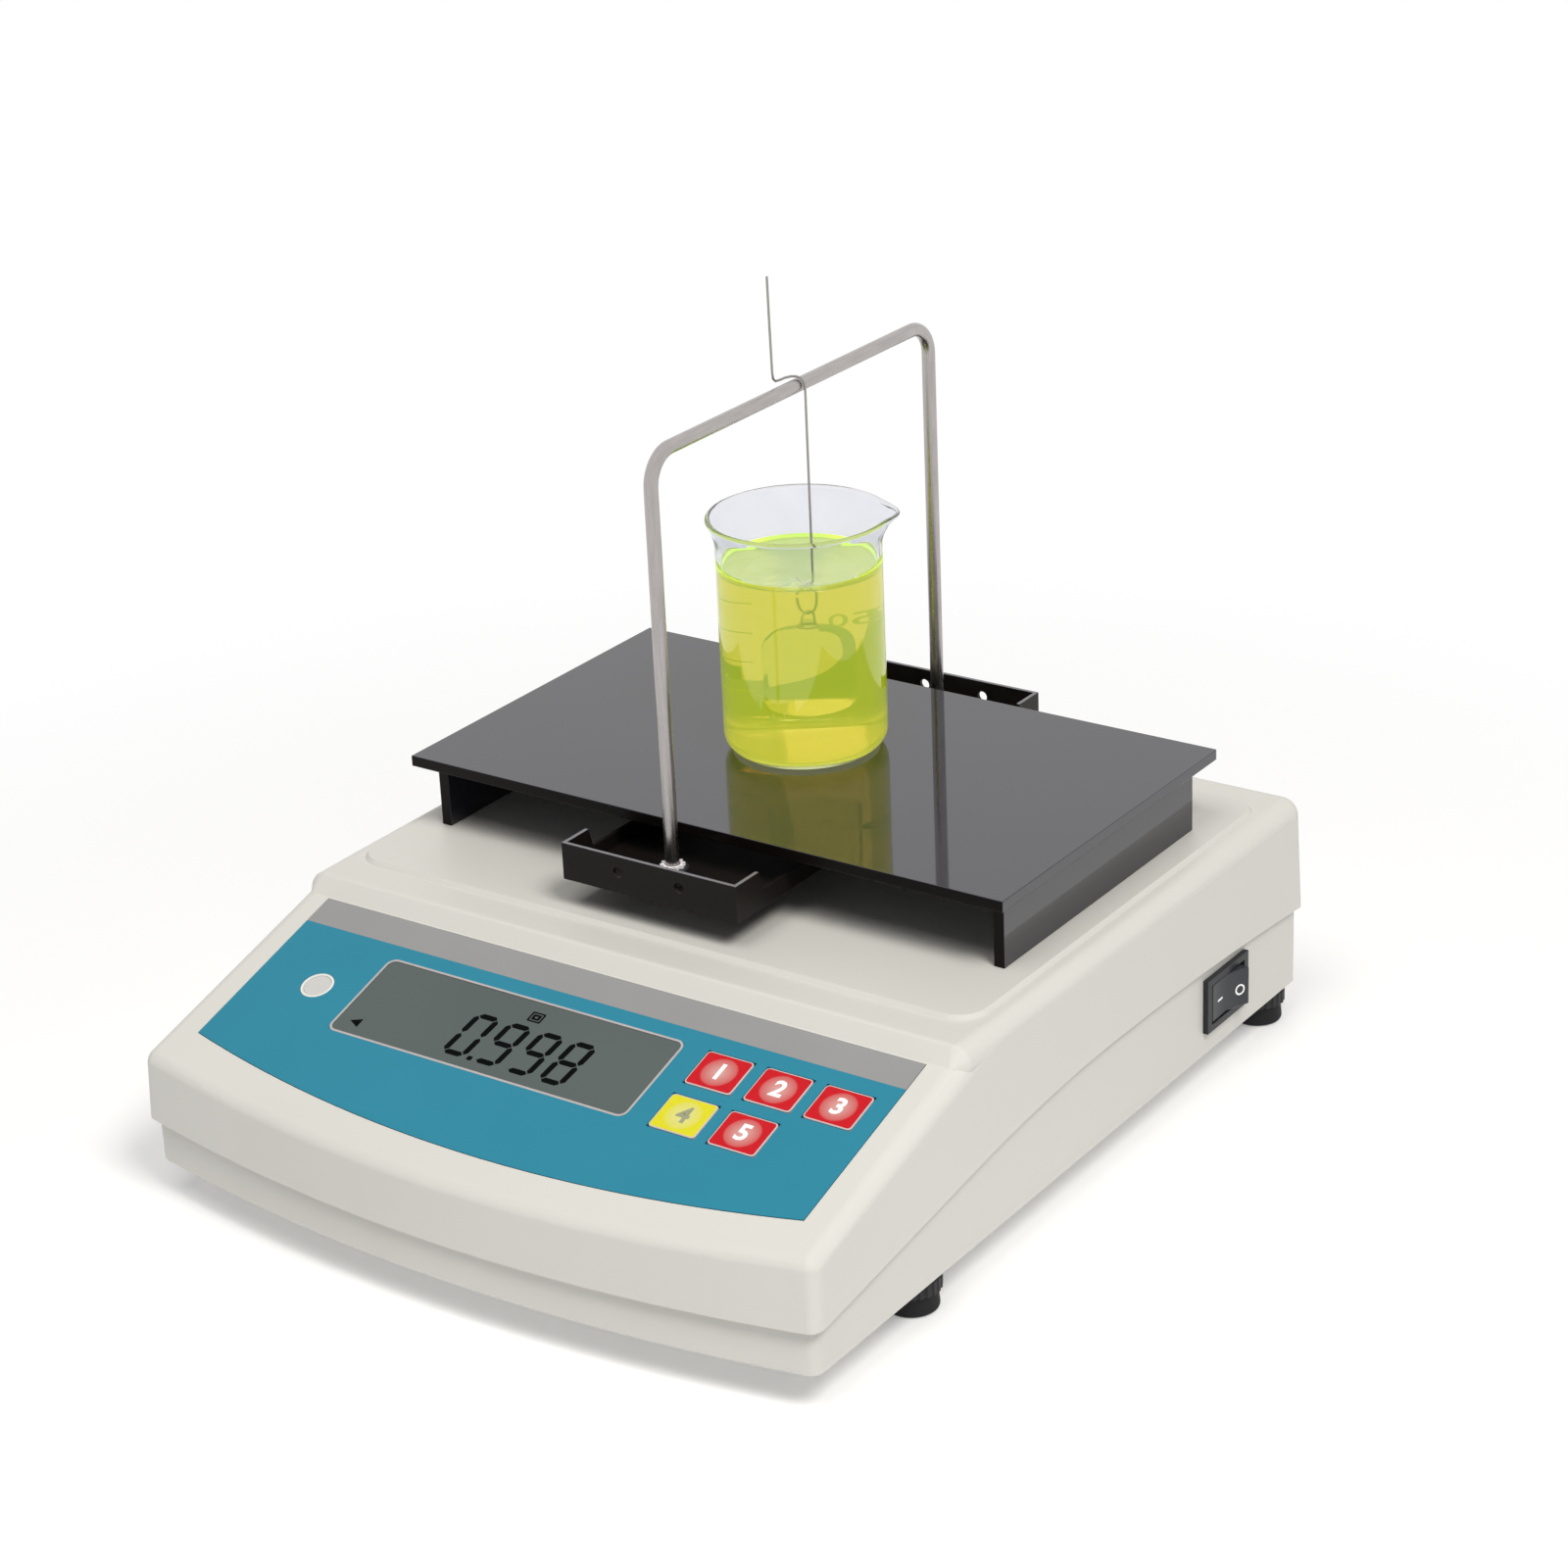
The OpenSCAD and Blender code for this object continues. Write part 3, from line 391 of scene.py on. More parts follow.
def mount(name, mesh, materials, body, place):
    """Turns a finished mesh into a piece: its materials, its body and its place."""
    for material in materials:
        mesh.materials.append(material)
    piece = bpy.data.objects.new(name, mesh)
    piece.matrix_world = place
    scene.collection.objects.link(piece)
    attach(piece, body)
    return piece


def settle(name, form, materials, body, place):
    """The same from a form that was built face by face."""
    mesh = bpy.data.meshes.new(name)
    form.to_mesh(mesh)
    form.free()
    return mount(name, mesh, materials, body, place)


def prism(name, outlines, low, high, material, body, place=PANEL, rings=False):
    """Flat printed or cut shapes, given in millimetres on a plane, as thin solids of one piece.
    With rings, the outlines come in pairs of equal count: outer, inner."""
    form = bmesh.new()
    per_shape = 2 if rings else 1
    for first in range(0, len(outlines), per_shape):
        loops = [[form.verts.new((x * MM, y * MM, z * MM)) for x, y in outline]
                 for outline in outlines[first:first + per_shape] for z in (low, high)]
        if not rings:
            form.faces.new(loops[1])
            form.faces.new(loops[0][::-1])
        section = (0, 1, 3, 2, 0) if rings else (0, 1)  # loops in turn round a ring's section
        for a, b in zip(section, section[1:]):
            for i in range(len(loops[0])):
                j = (i + 1) % len(loops[0])
                form.faces.new((loops[a][i], loops[a][j], loops[b][j], loops[b][i]))
    bmesh.ops.recalc_face_normals(form, faces=form.faces)
    return settle(name, form, [material], body, place)


def rounded(x, y, width, height, radius, steps=6):
    """A rectangle about (x, y) with round corners, counter-clockwise."""
    points = []
    for corner, (sx, sy) in enumerate(((1, 1), (-1, 1), (-1, -1), (1, -1))):
        cx, cy = x + sx * (width / 2 - radius), y + sy * (height / 2 - radius)
        for step in range(steps + 1):
            angle = math.radians(90 * corner + 90 * step / steps)
            points.append((cx + radius * math.cos(angle), cy + radius * math.sin(angle)))
    return points


# Liquid crystal behind clear acrylic: grey-green, even, with a soft shine.
crystal = finish("display_ground_under_acrylic", Roughness=0.3, Specular_IOR_Level=0.15)
mottle(crystal, ("#4b5553", "#59615f"), 60 * MM, detail=1.0)
skin("display_pane", "display_window", crystal, bevel=0.1 * MM)
# Pale grey ink: opaque and dull.
pale_line = finish("pale_grey_print", Roughness=0.5, Specular_IOR_Level=0.15)
mottle(pale_line, ("#aaa4a4", "#b6b0b0"), 6 * MM)
x, y, width, height = WINDOW
prism("window_line", [rounded(x, y, width + LINE_OUT, height + LINE_OUT, 2.5),
                      rounded(x, y, width + LINE_IN, height + LINE_IN, 1.9)],
      LINE_LOW, LINE_TOP, pale_line, "case", rings=True)

# Darkened crystal: near black, with no shine of its own.
segment_ink = finish("dark_display_segments", Roughness=0.5, Specular_IOR_Level=0.0)
mottle(segment_ink, ("#0c0d0e", "#121415"), 10 * MM)


def bar(ax, ay, bx, by, wide):
    """One display segment from a to b with pointed ends."""
    dx, dy = bx - ax, by - ay
    size = math.hypot(dx, dy)
    dx, dy = dx / size, dy / size
    half = wide / 2
    return [(ax, ay), (ax + half * (dx + dy), ay + half * (dy - dx)),
            (bx - half * (dx - dy), by - half * (dy + dx)), (bx, by),
            (bx - half * (dx + dy), by - half * (dy - dx)),
            (ax + half * (dx - dy), ay + half * (dy + dx))]


def digit(value, left, low):
    """Outlines of one slanted seven-segment numeral."""
    w, h = DIGIT_WIDE - STROKE, DIGIT_HIGH - STROKE
    corners = {"tl": (0, h), "tr": (w, h), "ml": (0, h / 2), "mr": (w, h / 2),
               "bl": (0, 0), "br": (w, 0)}
    strokes = {"a": ("tl", "tr"), "b": ("mr", "tr"), "c": ("br", "mr"), "d": ("bl", "br"),
               "e": ("bl", "ml"), "f": ("ml", "tl"), "g": ("ml", "mr")}
    lit = {"0": "abcdef", "8": "abcdefg", "9": "abcdfg"}[value]
    outlines = []
    for name in lit:
        (ax, ay), (bx, by) = (corners[c] for c in strokes[name])
        size = math.hypot(bx - ax, by - ay)
        ux, uy = (bx - ax) / size * STROKE_GAP, (by - ay) / size * STROKE_GAP
        shape = bar(ax + ux, ay + uy, bx - ux, by - uy, STROKE)
        outlines.append([(left + STROKE / 2 + px + DIGIT_LEAN * (py / h - 0.5),
                          low + STROKE / 2 + py) for px, py in shape])
    return outlines


numerals = []
for column, value in enumerate("0998"):
    numerals += digit(value, DIGITS_LEFT + column * DIGIT_PITCH, DIGITS_LOW)
numerals.append(rounded(*POINT))
numerals.append(ARROW)
prism("display_numerals", numerals, INK_LOW, INK_TOP, segment_ink, "case")
prism("display_mark", [rounded(*STATUS_AT, wide, high, radius, 2)
                       for wide, high, radius in STATUS_SQUARES],
      INK_LOW, INK_TOP, segment_ink, "case", rings=True)


# ---- Keys ---------------------------------------------------------------------
# Five keys of the contact keypad, each a soft square with a pale printed edge, a red or yellow
# face that pales towards its centre, and a plain numeral. Snap domes under them spring back.

KEY_AT = ((44.5, -22.0), (61.0, -22.0), (77.5, -22.0), (44.5, -37.1), (61.0, -37.1))
YELLOW_KEY = 4
KEY_WIDE, KEY_HIGH = 13.1, 11.3
KEY_LOW, KEY_TOP = -0.74, 0.25
KEY_LAYERS = (  # how much narrower, corner radius, height: side, eased edge, rim, face
    (0, 1.1, KEY_LOW), (0, 1.1, KEY_TOP - 0.12), (0.24, 1.0, KEY_TOP - 0.02),
    (0.7, 0.8, KEY_TOP - 0.02), (0.95, 0.7, KEY_TOP))
RIM_ROWS = 3  # the rows of faces, from below, that carry the pale edge's print
HALO_HEART, HALO_RIM, HALO_END = 0.5 * MM, 4.2 * MM, 4.7 * MM  # radii
HALO_PALEST, HALO_DULLEST = 1.0, 0.22
NUMERAL_SIZE, NUMERAL_BOLD, NUMERAL_THICK = 7.0 * MM, 0.2 * MM, 0.02 * MM
NUMERAL_PROUD = 0.005


def key_face(name, edge, face, heart):
    """Printed key face: a round halo 9 mm across, palest at its centre, with a soft rim."""
    material = finish(name, Roughness=0.42, IOR=1.5, Specular_IOR_Level=0.12)
    tree = material.node_tree
    where = add(tree, "ShaderNodeTexCoord")
    reach = add(tree, "ShaderNodeVectorMath", {0: where.outputs["Object"]}, operation="LENGTH")
    pale = add(tree, "ShaderNodeMapRange",
               {"Value": reach.outputs["Value"], "From Min": HALO_HEART, "From Max": HALO_END,
                "To Min": HALO_PALEST, "To Max": HALO_DULLEST})
    halo = add(tree, "ShaderNodeMapRange",
               {"Value": reach.outputs["Value"], "From Min": HALO_RIM, "From Max": HALO_END,
                "To Min": 1.0, "To Max": 0.0})
    glow = add(tree, "ShaderNodeMath", {0: pale.outputs["Result"], 1: halo.outputs["Result"]},
               operation="MULTIPLY")
    speckle = add(tree, "ShaderNodeTexNoise", {"Vector": where.outputs["Object"],
                                               "Scale": 1 / (2 * MM)})
    ground = add(tree, "ShaderNodeMix", {"Factor": speckle.outputs["Fac"], 6: linear(edge),
                                         7: linear(face)}, data_type="RGBA")
    tint = add(tree, "ShaderNodeMix", {"Factor": glow.outputs[0], 6: ground.outputs[2],
                                       7: linear(heart)}, data_type="RGBA")
    tree.links.new(tint.outputs[2], tree.nodes["Principled BSDF"].inputs["Base Color"])
    return material


# Strong printed colours under the same silky polyester as the field.
key_red = key_face("red_printed_key", "#ba161f", "#c51c26", "#cc9d98")
key_yellow = key_face("yellow_printed_key", "#cfc927", "#d9d32c", "#d3d18e")
# Opaque inks: flat and dull, with the faint unevenness of screen print.
key_edge = finish("pale_key_edge", Roughness=0.5, Specular_IOR_Level=0.15)
mottle(key_edge, ("#b9b1b1", "#c6bfbf"), 4 * MM)
white_ink = finish("white_key_print", Roughness=0.5, Specular_IOR_Level=0.15)
mottle(white_ink, ("#eeeeee", "#f8f8f8"), 3 * MM)
grey_ink = finish("olive_grey_key_print", Roughness=0.5, Specular_IOR_Level=0.15)
mottle(grey_ink, ("#8d8f72", "#9c9e80"), 3 * MM)


def numeral(name, text, size, place, material, body, bold=0.0, thick=0.03 * MM):
    """A plain numeral as a flat mesh, centred on its place."""
    curve = bpy.data.curves.new(name, "FONT")
    curve.body = text
    curve.size = size
    curve.align_x = "CENTER"
    curve.align_y = "CENTER"
    curve.offset = bold
    curve.extrude = thick
    curve.resolution_u = 3
    writing = bpy.data.objects.new(name + "_writing", curve)
    scene.collection.objects.link(writing)
    drawn = writing.evaluated_get(bpy.context.evaluated_depsgraph_get())
    mesh = bpy.data.meshes.new_from_object(drawn)
    mesh.name = name
    bpy.data.objects.remove(writing)
    mesh.materials.clear()
    return mount(name, mesh, [material], body, place)


for i, (x, y) in enumerate(KEY_AT, 1):
    yellow = i == YELLOW_KEY
    form = bmesh.new()
    rows = [[form.verts.new((px * MM, py * MM, z * MM))
             for px, py in rounded(0, 0, KEY_WIDE - less, KEY_HIGH - less, radius, 4)]
            for less, radius, z in KEY_LAYERS]
    for row, (lower, upper) in enumerate(zip(rows, rows[1:])):
        for a in range(len(lower)):
            b = (a + 1) % len(lower)
            face = form.faces.new((lower[a], lower[b], upper[b], upper[a]))
            face.material_index = 1 if row < RIM_ROWS else 0
    form.faces.new(rows[-1])
    form.faces.new(rows[0][::-1]).material_index = 1
    key = settle(f"key_face_{i}", form, [key_yellow if yellow else key_red, key_edge],
                 f"key_{i}", PANEL @ Matrix.Translation((x * MM, y * MM, 0)))
    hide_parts(f"key_{i}")
    numeral(f"key_numeral_{i}", str(i), NUMERAL_SIZE,
            PANEL @ Matrix.Translation((x * MM, y * MM, (KEY_TOP + NUMERAL_PROUD) * MM)),
            grey_ink if yellow else white_ink, f"key_{i}", NUMERAL_BOLD, NUMERAL_THICK)


# ---- Spirit level ---------------------------------------------------------------
# A round bull's-eye level in a white cup, flush in the overlay. From in front it is a plain
# pale disc: the vial's clear top over the white cup.

# Moulded white plastic: smooth, lightly shining.
level_white = finish("white_level_cup", Roughness=0.35, Specular_IOR_Level=0.2)
mottle(level_white, ("#d8d8d4", "#e2e2de"), 3 * MM)
skin("level_housing", "level_cup", level_white, bevel=0.12 * MM)
# Clear top over the cup: the cup's white, dulled a little, under a brighter shine.
level_clear = finish("clear_level_vial", Roughness=0.2, Specular_IOR_Level=0.2)
mottle(level_clear, ("#c0bfbd", "#c8c7c5"), 4 * MM)
skin("level_glass", "level_vial", level_clear, bevel=0.15 * MM)


# ---- Rocker switch and inlet ------------------------------------------------------
# A snap-in panel rocker in black nylon, its paddle dark grey and smooth with a white dash
# and a white ring for on and off. At the rear, a round DC socket with its steel centre pin.

PIVOT = Vector((96.2, 76.8, 24.25)) * MM
PADDLE_TILT = math.radians(-11)
PADDLE_HALF, PADDLE_END, PADDLE_MIDDLE = 7.2, 4.3, 2.7  # half length; rise at end and middle
DASH_OUT, RING_OUT = 3.4, 4.4  # from the paddle's middle, along its face
DASH = (0, -0.35, 2.6, 0.6, 0.2, 2)  # centre x, y, width, height, radius, steps
RING_RADII, RING_DOWN, RING_SIDES = (1.5, 1.05), -0.4, 40
PRINT_LOW, PRINT_TOP, PRINT_PROUD = -0.05, 0.03, 0.02

# Moulded nylon: black with a fine satin grain, real grain about 0.1 mm, drawn coarser.
nylon_black = finish("moulded_black_nylon", Roughness=0.42, IOR=1.53, Specular_IOR_Level=0.3)
mottle(nylon_black, ("#1b1c20", "#25272b"), 1.2 * MM, bump=(0.15, 0.04 * MM),
       rough=(0.36, 0.5))
skin("rocker_frame", "rocker_housing", nylon_black, bevel=0.35 * MM, segments=3)
# The same nylon from a polished mould: dark grey, smoother than its frame.
paddle_grey = finish("smooth_dark_grey_nylon", Roughness=0.3, IOR=1.53,
                     Specular_IOR_Level=0.3)
mottle(paddle_grey, ("#2a2c31", "#33363b"), 2.5 * MM, rough=(0.25, 0.36))
skin("rocker_key", "rocker_paddle", paddle_grey, bevel=0.3 * MM, segments=3)

paddle_frame = Matrix.Translation(PIVOT) @ Matrix.Rotation(PADDLE_TILT, 4, "Z")
fall = math.atan2(PADDLE_END - PADDLE_MIDDLE, PADDLE_HALF)
upright = Vector((0, 0, 1))
ring = [[(r * math.cos(a), RING_DOWN + r * math.sin(a))
         for a in (math.tau * k / RING_SIDES for k in range(RING_SIDES))] for r in RING_RADII]
for name, side, out, outlines in (("on_dash", -1, DASH_OUT, [rounded(*DASH)]),
                                  ("off_ring", 1, RING_OUT, ring)):
    along = Vector((math.sin(fall), side * math.cos(fall), 0))
    outward = Vector((math.cos(fall), -side * math.sin(fall), 0))
    centre = (Vector((PADDLE_MIDDLE * MM, 0, 0)) + along * out * MM
              + outward * PRINT_PROUD * MM)
    face_axes = Matrix((upright.cross(outward), upright, outward)).transposed().to_4x4()
    prism(name, outlines, PRINT_LOW, PRINT_TOP, white_ink, "rocker",
          place=paddle_frame @ Matrix.Translation(centre) @ face_axes,
          rings=len(outlines) == 2)

skin("inlet_socket", "dc_inlet", nylon_black, bevel=0.25 * MM)
# Turned steel: bright, with rings round the pin, wider than the real ones.
bright_steel = finish("bright_turned_steel", Metallic=1.0, Roughness=0.22)
mottle(bright_steel, ("#bdbcb8", "#d0cfca"), 0.8 * MM, rough=(0.16, 0.3), stretch=(1, 5, 1))
dress(bright_steel, "dc_inlet_pin")


# ---- Weighing tray and hanging frame ------------------------------------------------
# The tray is 1 mm steel sheet, folded up and powder coated satin black. In it stand two black
# bosses with toothed lock washers, and from them a bent stainless rod, drawn along its length.

EDGE_BAND = 0.3 * MM  # below the tray's upper edge
WASHER_TEETH, TOOTH_TIP, TOOTH_ROOT, WASHER_BORE = 10, 3.1, 2.45, 1.95

# Powder coat: satin black with a fine orange peel.
powder_black = finish("satin_black_powder_coat", Roughness=0.38, IOR=1.5,
                      Specular_IOR_Level=0.18)
mottle(powder_black, ("#120f0e", "#1c1816"), 0.8 * MM, bump=(0.35, 0.05 * MM),
       rough=(0.3, 0.46))
# Along the sheet's top edge the upward faces carry a painted highlight: a lighter grey with more
# shine.
tray_edge_painted_highlight = finish("sheet_top_edge_painted_highlight", Roughness=0.3, IOR=1.5)
mottle(tray_edge_painted_highlight, ("#5a575c", "#74737c"), 2 * MM, rough=(0.25, 0.4))
tray = skin("folded_tray", "weighing_tray", powder_black, bevel=0.2 * MM)
tray.data.materials.append(tray_edge_painted_highlight)
# Upward faces at the tray's top edge take the painted highlight.
for face in tray.data.polygons:
    if face.normal.z > 0.9 and face.center.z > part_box("weighing_tray")[1][2] - EDGE_BAND:
        face.material_index = 1
skin("tray_bosses", "frame_bosses", nylon_black, bevel=0.3 * MM)
# Drawn stainless: long fine lines, wider here than the real 0.05 mm, that stretch its
# highlights along the rod.
drawn_steel = finish("drawn_stainless_rod", Metallic=1.0, Roughness=0.28)
mottle(drawn_steel, ("#9f9a98", "#c2bdbb"), 0.5 * MM, bump=(0.2, 0.02 * MM),
       rough=(0.2, 0.38), stretch=(1, 0.06, 0.06))
skin("bent_rod", "hanging_frame", drawn_steel, sharp=40)

# Lock washers, slightly uneven: their white is a painted highlight that stands for the glint of
# their teeth.
washer_painted_glint = finish("lock_washer_white_painted_glint", Roughness=0.35)
mottle(washer_painted_glint, ("#dcd6d8", "#f2eef0"), 0.7 * MM, rough=(0.25, 0.5),
       bump=(0.3, 0.05 * MM))
low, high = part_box("frame_rings")
reach = (high[0] - low[0]) / 2
turns = [math.tau * k / (4 * WASHER_TEETH) for k in range(4 * WASHER_TEETH)]
radii = [TOOTH_TIP if k % 4 < 2 else TOOTH_ROOT for k in range(4 * WASHER_TEETH)]
toothed = [(radius * math.cos(a), radius * math.sin(a)) for radius, a in zip(radii, turns)]
bore = [(WASHER_BORE * math.cos(a), WASHER_BORE * math.sin(a)) for a in turns]
for number, y in enumerate((low[1] + reach, high[1] - reach), 1):
    washer = prism(f"lock_washer_{number}", [toothed, bore], 0, (high[2] - low[2]) / MM,
                   washer_painted_glint, "weighing_parts",
                   place=Matrix.Translation((0, y, low[2])), rings=True)
    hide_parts("frame_rings")


# ---- Table ----------------------------------------------------------------------
# Three pieces of 3 mm black acrylic: a top glued on two side legs. The faces are cast smooth,
# so the top mirrors the beaker and the rod. The cut edges at front and rear stay satin.

# Cast acrylic: a dark mirror. Its IOR is above the usual 1.49, for mirroring as strong as in
# the photograph.
acrylic = finish("polished_black_acrylic", Roughness=0.03, IOR=1.75)
mottle(acrylic, ("#15141f", "#1b1a25"), 30 * MM, rough=(0.02, 0.05), detail=6.0)
# Sawn and scraped acrylic: deep black and dull.
cut_acrylic = finish("satin_cut_acrylic_edge", Roughness=0.3, IOR=1.49,
                     Specular_IOR_Level=0.12)
mottle(cut_acrylic, ("#090606", "#100b0a"), 4 * MM, rough=(0.25, 0.4), stretch=(1, 1, 4))
for node, name in (("table_top", "acrylic_top"), ("table_leg_left", "acrylic_leg_left"),
                   ("table_leg_right", "acrylic_leg_right")):
    sheet = skin(name, node, acrylic, bevel=0.22 * MM)
    sheet.data.materials.append(cut_acrylic)
    for face in sheet.data.polygons:
        if abs(face.normal.y) > 0.7:
            face.material_index = 1


# ---- Beaker ----------------------------------------------------------------------
# A low 50 ml beaker blown in borosilicate glass: flat base with a soft heel, straight wall,
# rim rolled outwards and drawn into a spout. Pale fired-on marks run up one side.

BEAKER_AT = Vector((-4.2, 42.6, 84.4)) * MM
R, H, WALL = 21.0, 62.0, 1.3  # outer radius, height, thickness of the glass
LIP = 0.75  # radius of the rolled lip
FLARE_LOW, FLARE_TOP = H - 12, H - 1.1
FOOT_TOP = 1.0
SPOUT_AT = math.radians(35.5)
SPOUT_SPREAD = 0.26  # radians
SPOUT_TALL, SPOUT_REACH, SPOUT_DIP = 9, 2.7, 0.5
MARK_AT, MARK_WIDE, MARK_LINE = math.radians(153), 9.0, 0.35
FIRST_MARK, MARK_STEP = 10.7, 8.0  # 10 ml of liquid stands 8 mm high
MARK_IN, MARK_OUT = -0.02, 0.05  # inner and outer face, from the wall
VOLUME_AT, VOLUME_HEIGHT, VOLUME_SIZE = math.radians(110), 29.2 * MM, 5.0 * MM


def lathe(name, profile, materials, body, at, sides=96, push=None):
    """Turns a profile of (radius, height) in millimetres about Z; push moves its points."""
    form = bmesh.new()
    rows = []
    for radius, height in profile:
        if radius < 1e-6:
            rows.append([form.verts.new((0, 0, height * MM))])
            continue
        row = []
        for k in range(sides):
            angle = math.tau * k / sides
            reach, lift = push(radius, height, angle) if push else (0, 0)
            row.append(form.verts.new(((radius + reach) * MM * math.cos(angle),
                                       (radius + reach) * MM * math.sin(angle),
                                       (height + lift) * MM)))
        rows.append(row)
    for lower, upper in zip(rows, rows[1:]):
        for k in range(sides):
            m = (k + 1) % sides
            if len(lower) == 1:
                form.faces.new((lower[0], upper[m], upper[k]))
            elif len(upper) == 1:
                form.faces.new((lower[k], lower[m], upper[0]))
            else:
                form.faces.new((lower[k], lower[m], upper[m], upper[k]))
    bmesh.ops.recalc_face_normals(form, faces=form.faces)
    for face in form.faces:
        face.smooth = True
    return settle(name, form, materials, body, Matrix.Translation(at))


def turn(cx, cy, radius, start, stop, steps):
    """Points of a round in a profile, from one angle in degrees to another."""
    angles = [math.radians(start + (stop - start) * k / steps) for k in range(steps + 1)]
    return [(cx + radius * math.cos(a), cy + radius * math.sin(a)) for a in angles]


def spout(radius, height, angle):
    """The lip is drawn out over about 40 degrees, most at the rim."""
    off = (angle - SPOUT_AT + math.pi) % math.tau - math.pi
    level = min(max((height - (H - SPOUT_TALL)) / SPOUT_TALL, 0), 1)
    pull = math.exp(-(off / SPOUT_SPREAD) ** 2) * level ** 2.2
    return SPOUT_REACH * pull if radius > 10 else 0.0, -SPOUT_DIP * pull * level


# Blown borosilicate: clear, faintly cold, with long shallow waves.
glass = finish("borosilicate_glass", Roughness=0.0, IOR=1.47, Transmission_Weight=1.0,
               Base_Color=linear("#ecebf1"))
ripple(glass, 16 * MM, 0.12, 0.4 * MM, detail=1.0)
# The flare is thin and seen slantwise: a pale veil that hardly bends what is behind it.
flared_glass = finish("flared_pale_glass", Roughness=0.05, IOR=1.1, Transmission_Weight=0.95)
mottle(flared_glass, ("#e6e7ee", "#eeeff5"), 8 * MM, detail=1.0)
# The base is rubbed dull where it stands. Its emission is a painted glow: a bright rim in place
# of the light that the wall brings down.
ground_foot_painted_glow = finish("ground_glass_foot_painted_glow", Roughness=0.5, IOR=1.47, Transmission_Weight=0.3,
                     Emission_Color=linear("#eef3bc"), Emission_Strength=0.6)
mottle(ground_foot_painted_glow, ("#e4e8e2", "#f2f5f0"), 2 * MM, detail=2.0)

outside = ([(0, 0.6), (R - 8, 0.6), (R - 6.5, 0.15)] + turn(R - 5, 5, 5, -88, 0, 16)
           + [(R, 20), (R, 40), (R, H - 12), (R, H - 8), (R + 0.1, H - 6.5), (R + 0.4, H - 5),
              (R + 0.95, H - 3.4), (R + 1.5, H - 1.9)]
           + turn(R + 1.45, H - LIP, LIP, -20, 180, 10))
inside = ([(R + 0.35, H - 2.2), (R - 0.3, H - 4.2), (R - 0.95, H - 6), (R - WALL, H - 8.5),
           (R - WALL, H - 12), (R - WALL, 40), (R - WALL, 20)]
          + turn(R - WALL - 4, 6, 4, 0, -88, 8) + [(R - 9, 1.9), (0, 1.9)])
beaker = lathe("blown_beaker", outside + inside, [glass, flared_glass, ground_foot_painted_glow], "beaker",
               BEAKER_AT, push=spout)
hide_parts("beaker")
# The flare takes the pale veil; the lowest faces take the foot's painted glow.
for face in beaker.data.polygons:
    z = face.center.z / MM
    if FLARE_LOW < z < FLARE_TOP:
        face.material_index = 1
    elif z < FOOT_TOP:
        face.material_index = 2

# Fired enamel: opaque cream white, dull.
fired_white = finish("white_fired_marks", Roughness=0.5, Specular_IOR_Level=0.2)
mottle(fired_white, ("#d8dcc4", "#e6e9d4"), 2 * MM)


def on_wall(name, angle, height, wide, high):
    """One mark on the beaker's wall: a thin curved strip, wide along the wall, at an angle."""
    form = bmesh.new()
    steps = max(2, int(wide / 1.2))
    span = wide / (R + 0.03)
    rows = []
    for radius in (R + MARK_IN, R + MARK_OUT):
        for z in (height - high / 2, height + high / 2):
            rows.append([form.verts.new((radius * MM * math.cos(angle + span * (k / steps - 0.5)),
                                         radius * MM * math.sin(angle + span * (k / steps - 0.5)),
                                         z * MM)) for k in range(steps + 1)])
    for a, b in ((0, 1), (1, 3), (3, 2), (2, 0)):
        for k in range(steps):
            form.faces.new((rows[a][k], rows[a][k + 1], rows[b][k + 1], rows[b][k]))
    form.faces.new((rows[0][0], rows[1][0], rows[3][0], rows[2][0]))
    form.faces.new((rows[0][-1], rows[2][-1], rows[3][-1], rows[1][-1]))
    bmesh.ops.recalc_face_normals(form, faces=form.faces)
    settle(name, form, [fired_white], "beaker", Matrix.Translation(BEAKER_AT))


# The marks and the plain volume numeral are on the wall away from the panel, read from behind.
for step in range(4):
    on_wall(f"mark_{(step + 1) * 10}", MARK_AT, FIRST_MARK + step * MARK_STEP, MARK_WIDE,
            MARK_LINE)
volume = numeral("volume_numeral", "50", VOLUME_SIZE, Matrix.Translation(BEAKER_AT),
                 fired_white, "beaker", bold=0.02 * MM)
for vertex in volume.data.vertices:
    angle = VOLUME_AT + vertex.co.x / (R * MM)
    reach = (R + 0.03) * MM + vertex.co.z
    vertex.co = (reach * math.cos(angle), reach * math.sin(angle), VOLUME_HEIGHT + vertex.co.y)


# ---- Liquid ----------------------------------------------------------------------
# About 50 ml of a clear yellow liquid that fluoresces green, its glow painted on as emission. It
# wets the wall, so its surface turns up a little at the glass. Its floor mirrors the room like
# still water, its darkness painted shade.

LEVEL = 48.8
LIQUID_R = R - WALL + 0.06  # laps into the glass, so no air gap shows
LIQUID_LOW = 1.97  # just clear of the glass floor
FLOOR_BELOW = 2.3

# Fluorescent water: it bends light as water does. Its green glow is painted light, an emission
# that shines under any lamp and lifts the liquid's brightness.
liquid = finish("yellow_liquid_painted_green_glow", Roughness=0.0, IOR=1.34, Transmission_Weight=0.9,
                Emission_Color=linear("#c9fb30"), Emission_Strength=0.32,
                Base_Color=linear("#ca9c4b"))
ripple(liquid, 22 * MM, 0.1, 0.3 * MM)
# Its free surface: paler, lit by a painted glow of its own, with the slow swell of a liquid that
# was just set down.
free_surface_painted_glow = finish("free_liquid_surface_painted_glow", Roughness=0.0, IOR=1.34, Transmission_Weight=0.85,
                      Emission_Color=linear("#d9f28c"), Emission_Strength=0.26,
                      Base_Color=linear("#dbe6b0"))
ripple(free_surface_painted_glow, 9 * MM, 0.5, 1.2 * MM, detail=1.0)
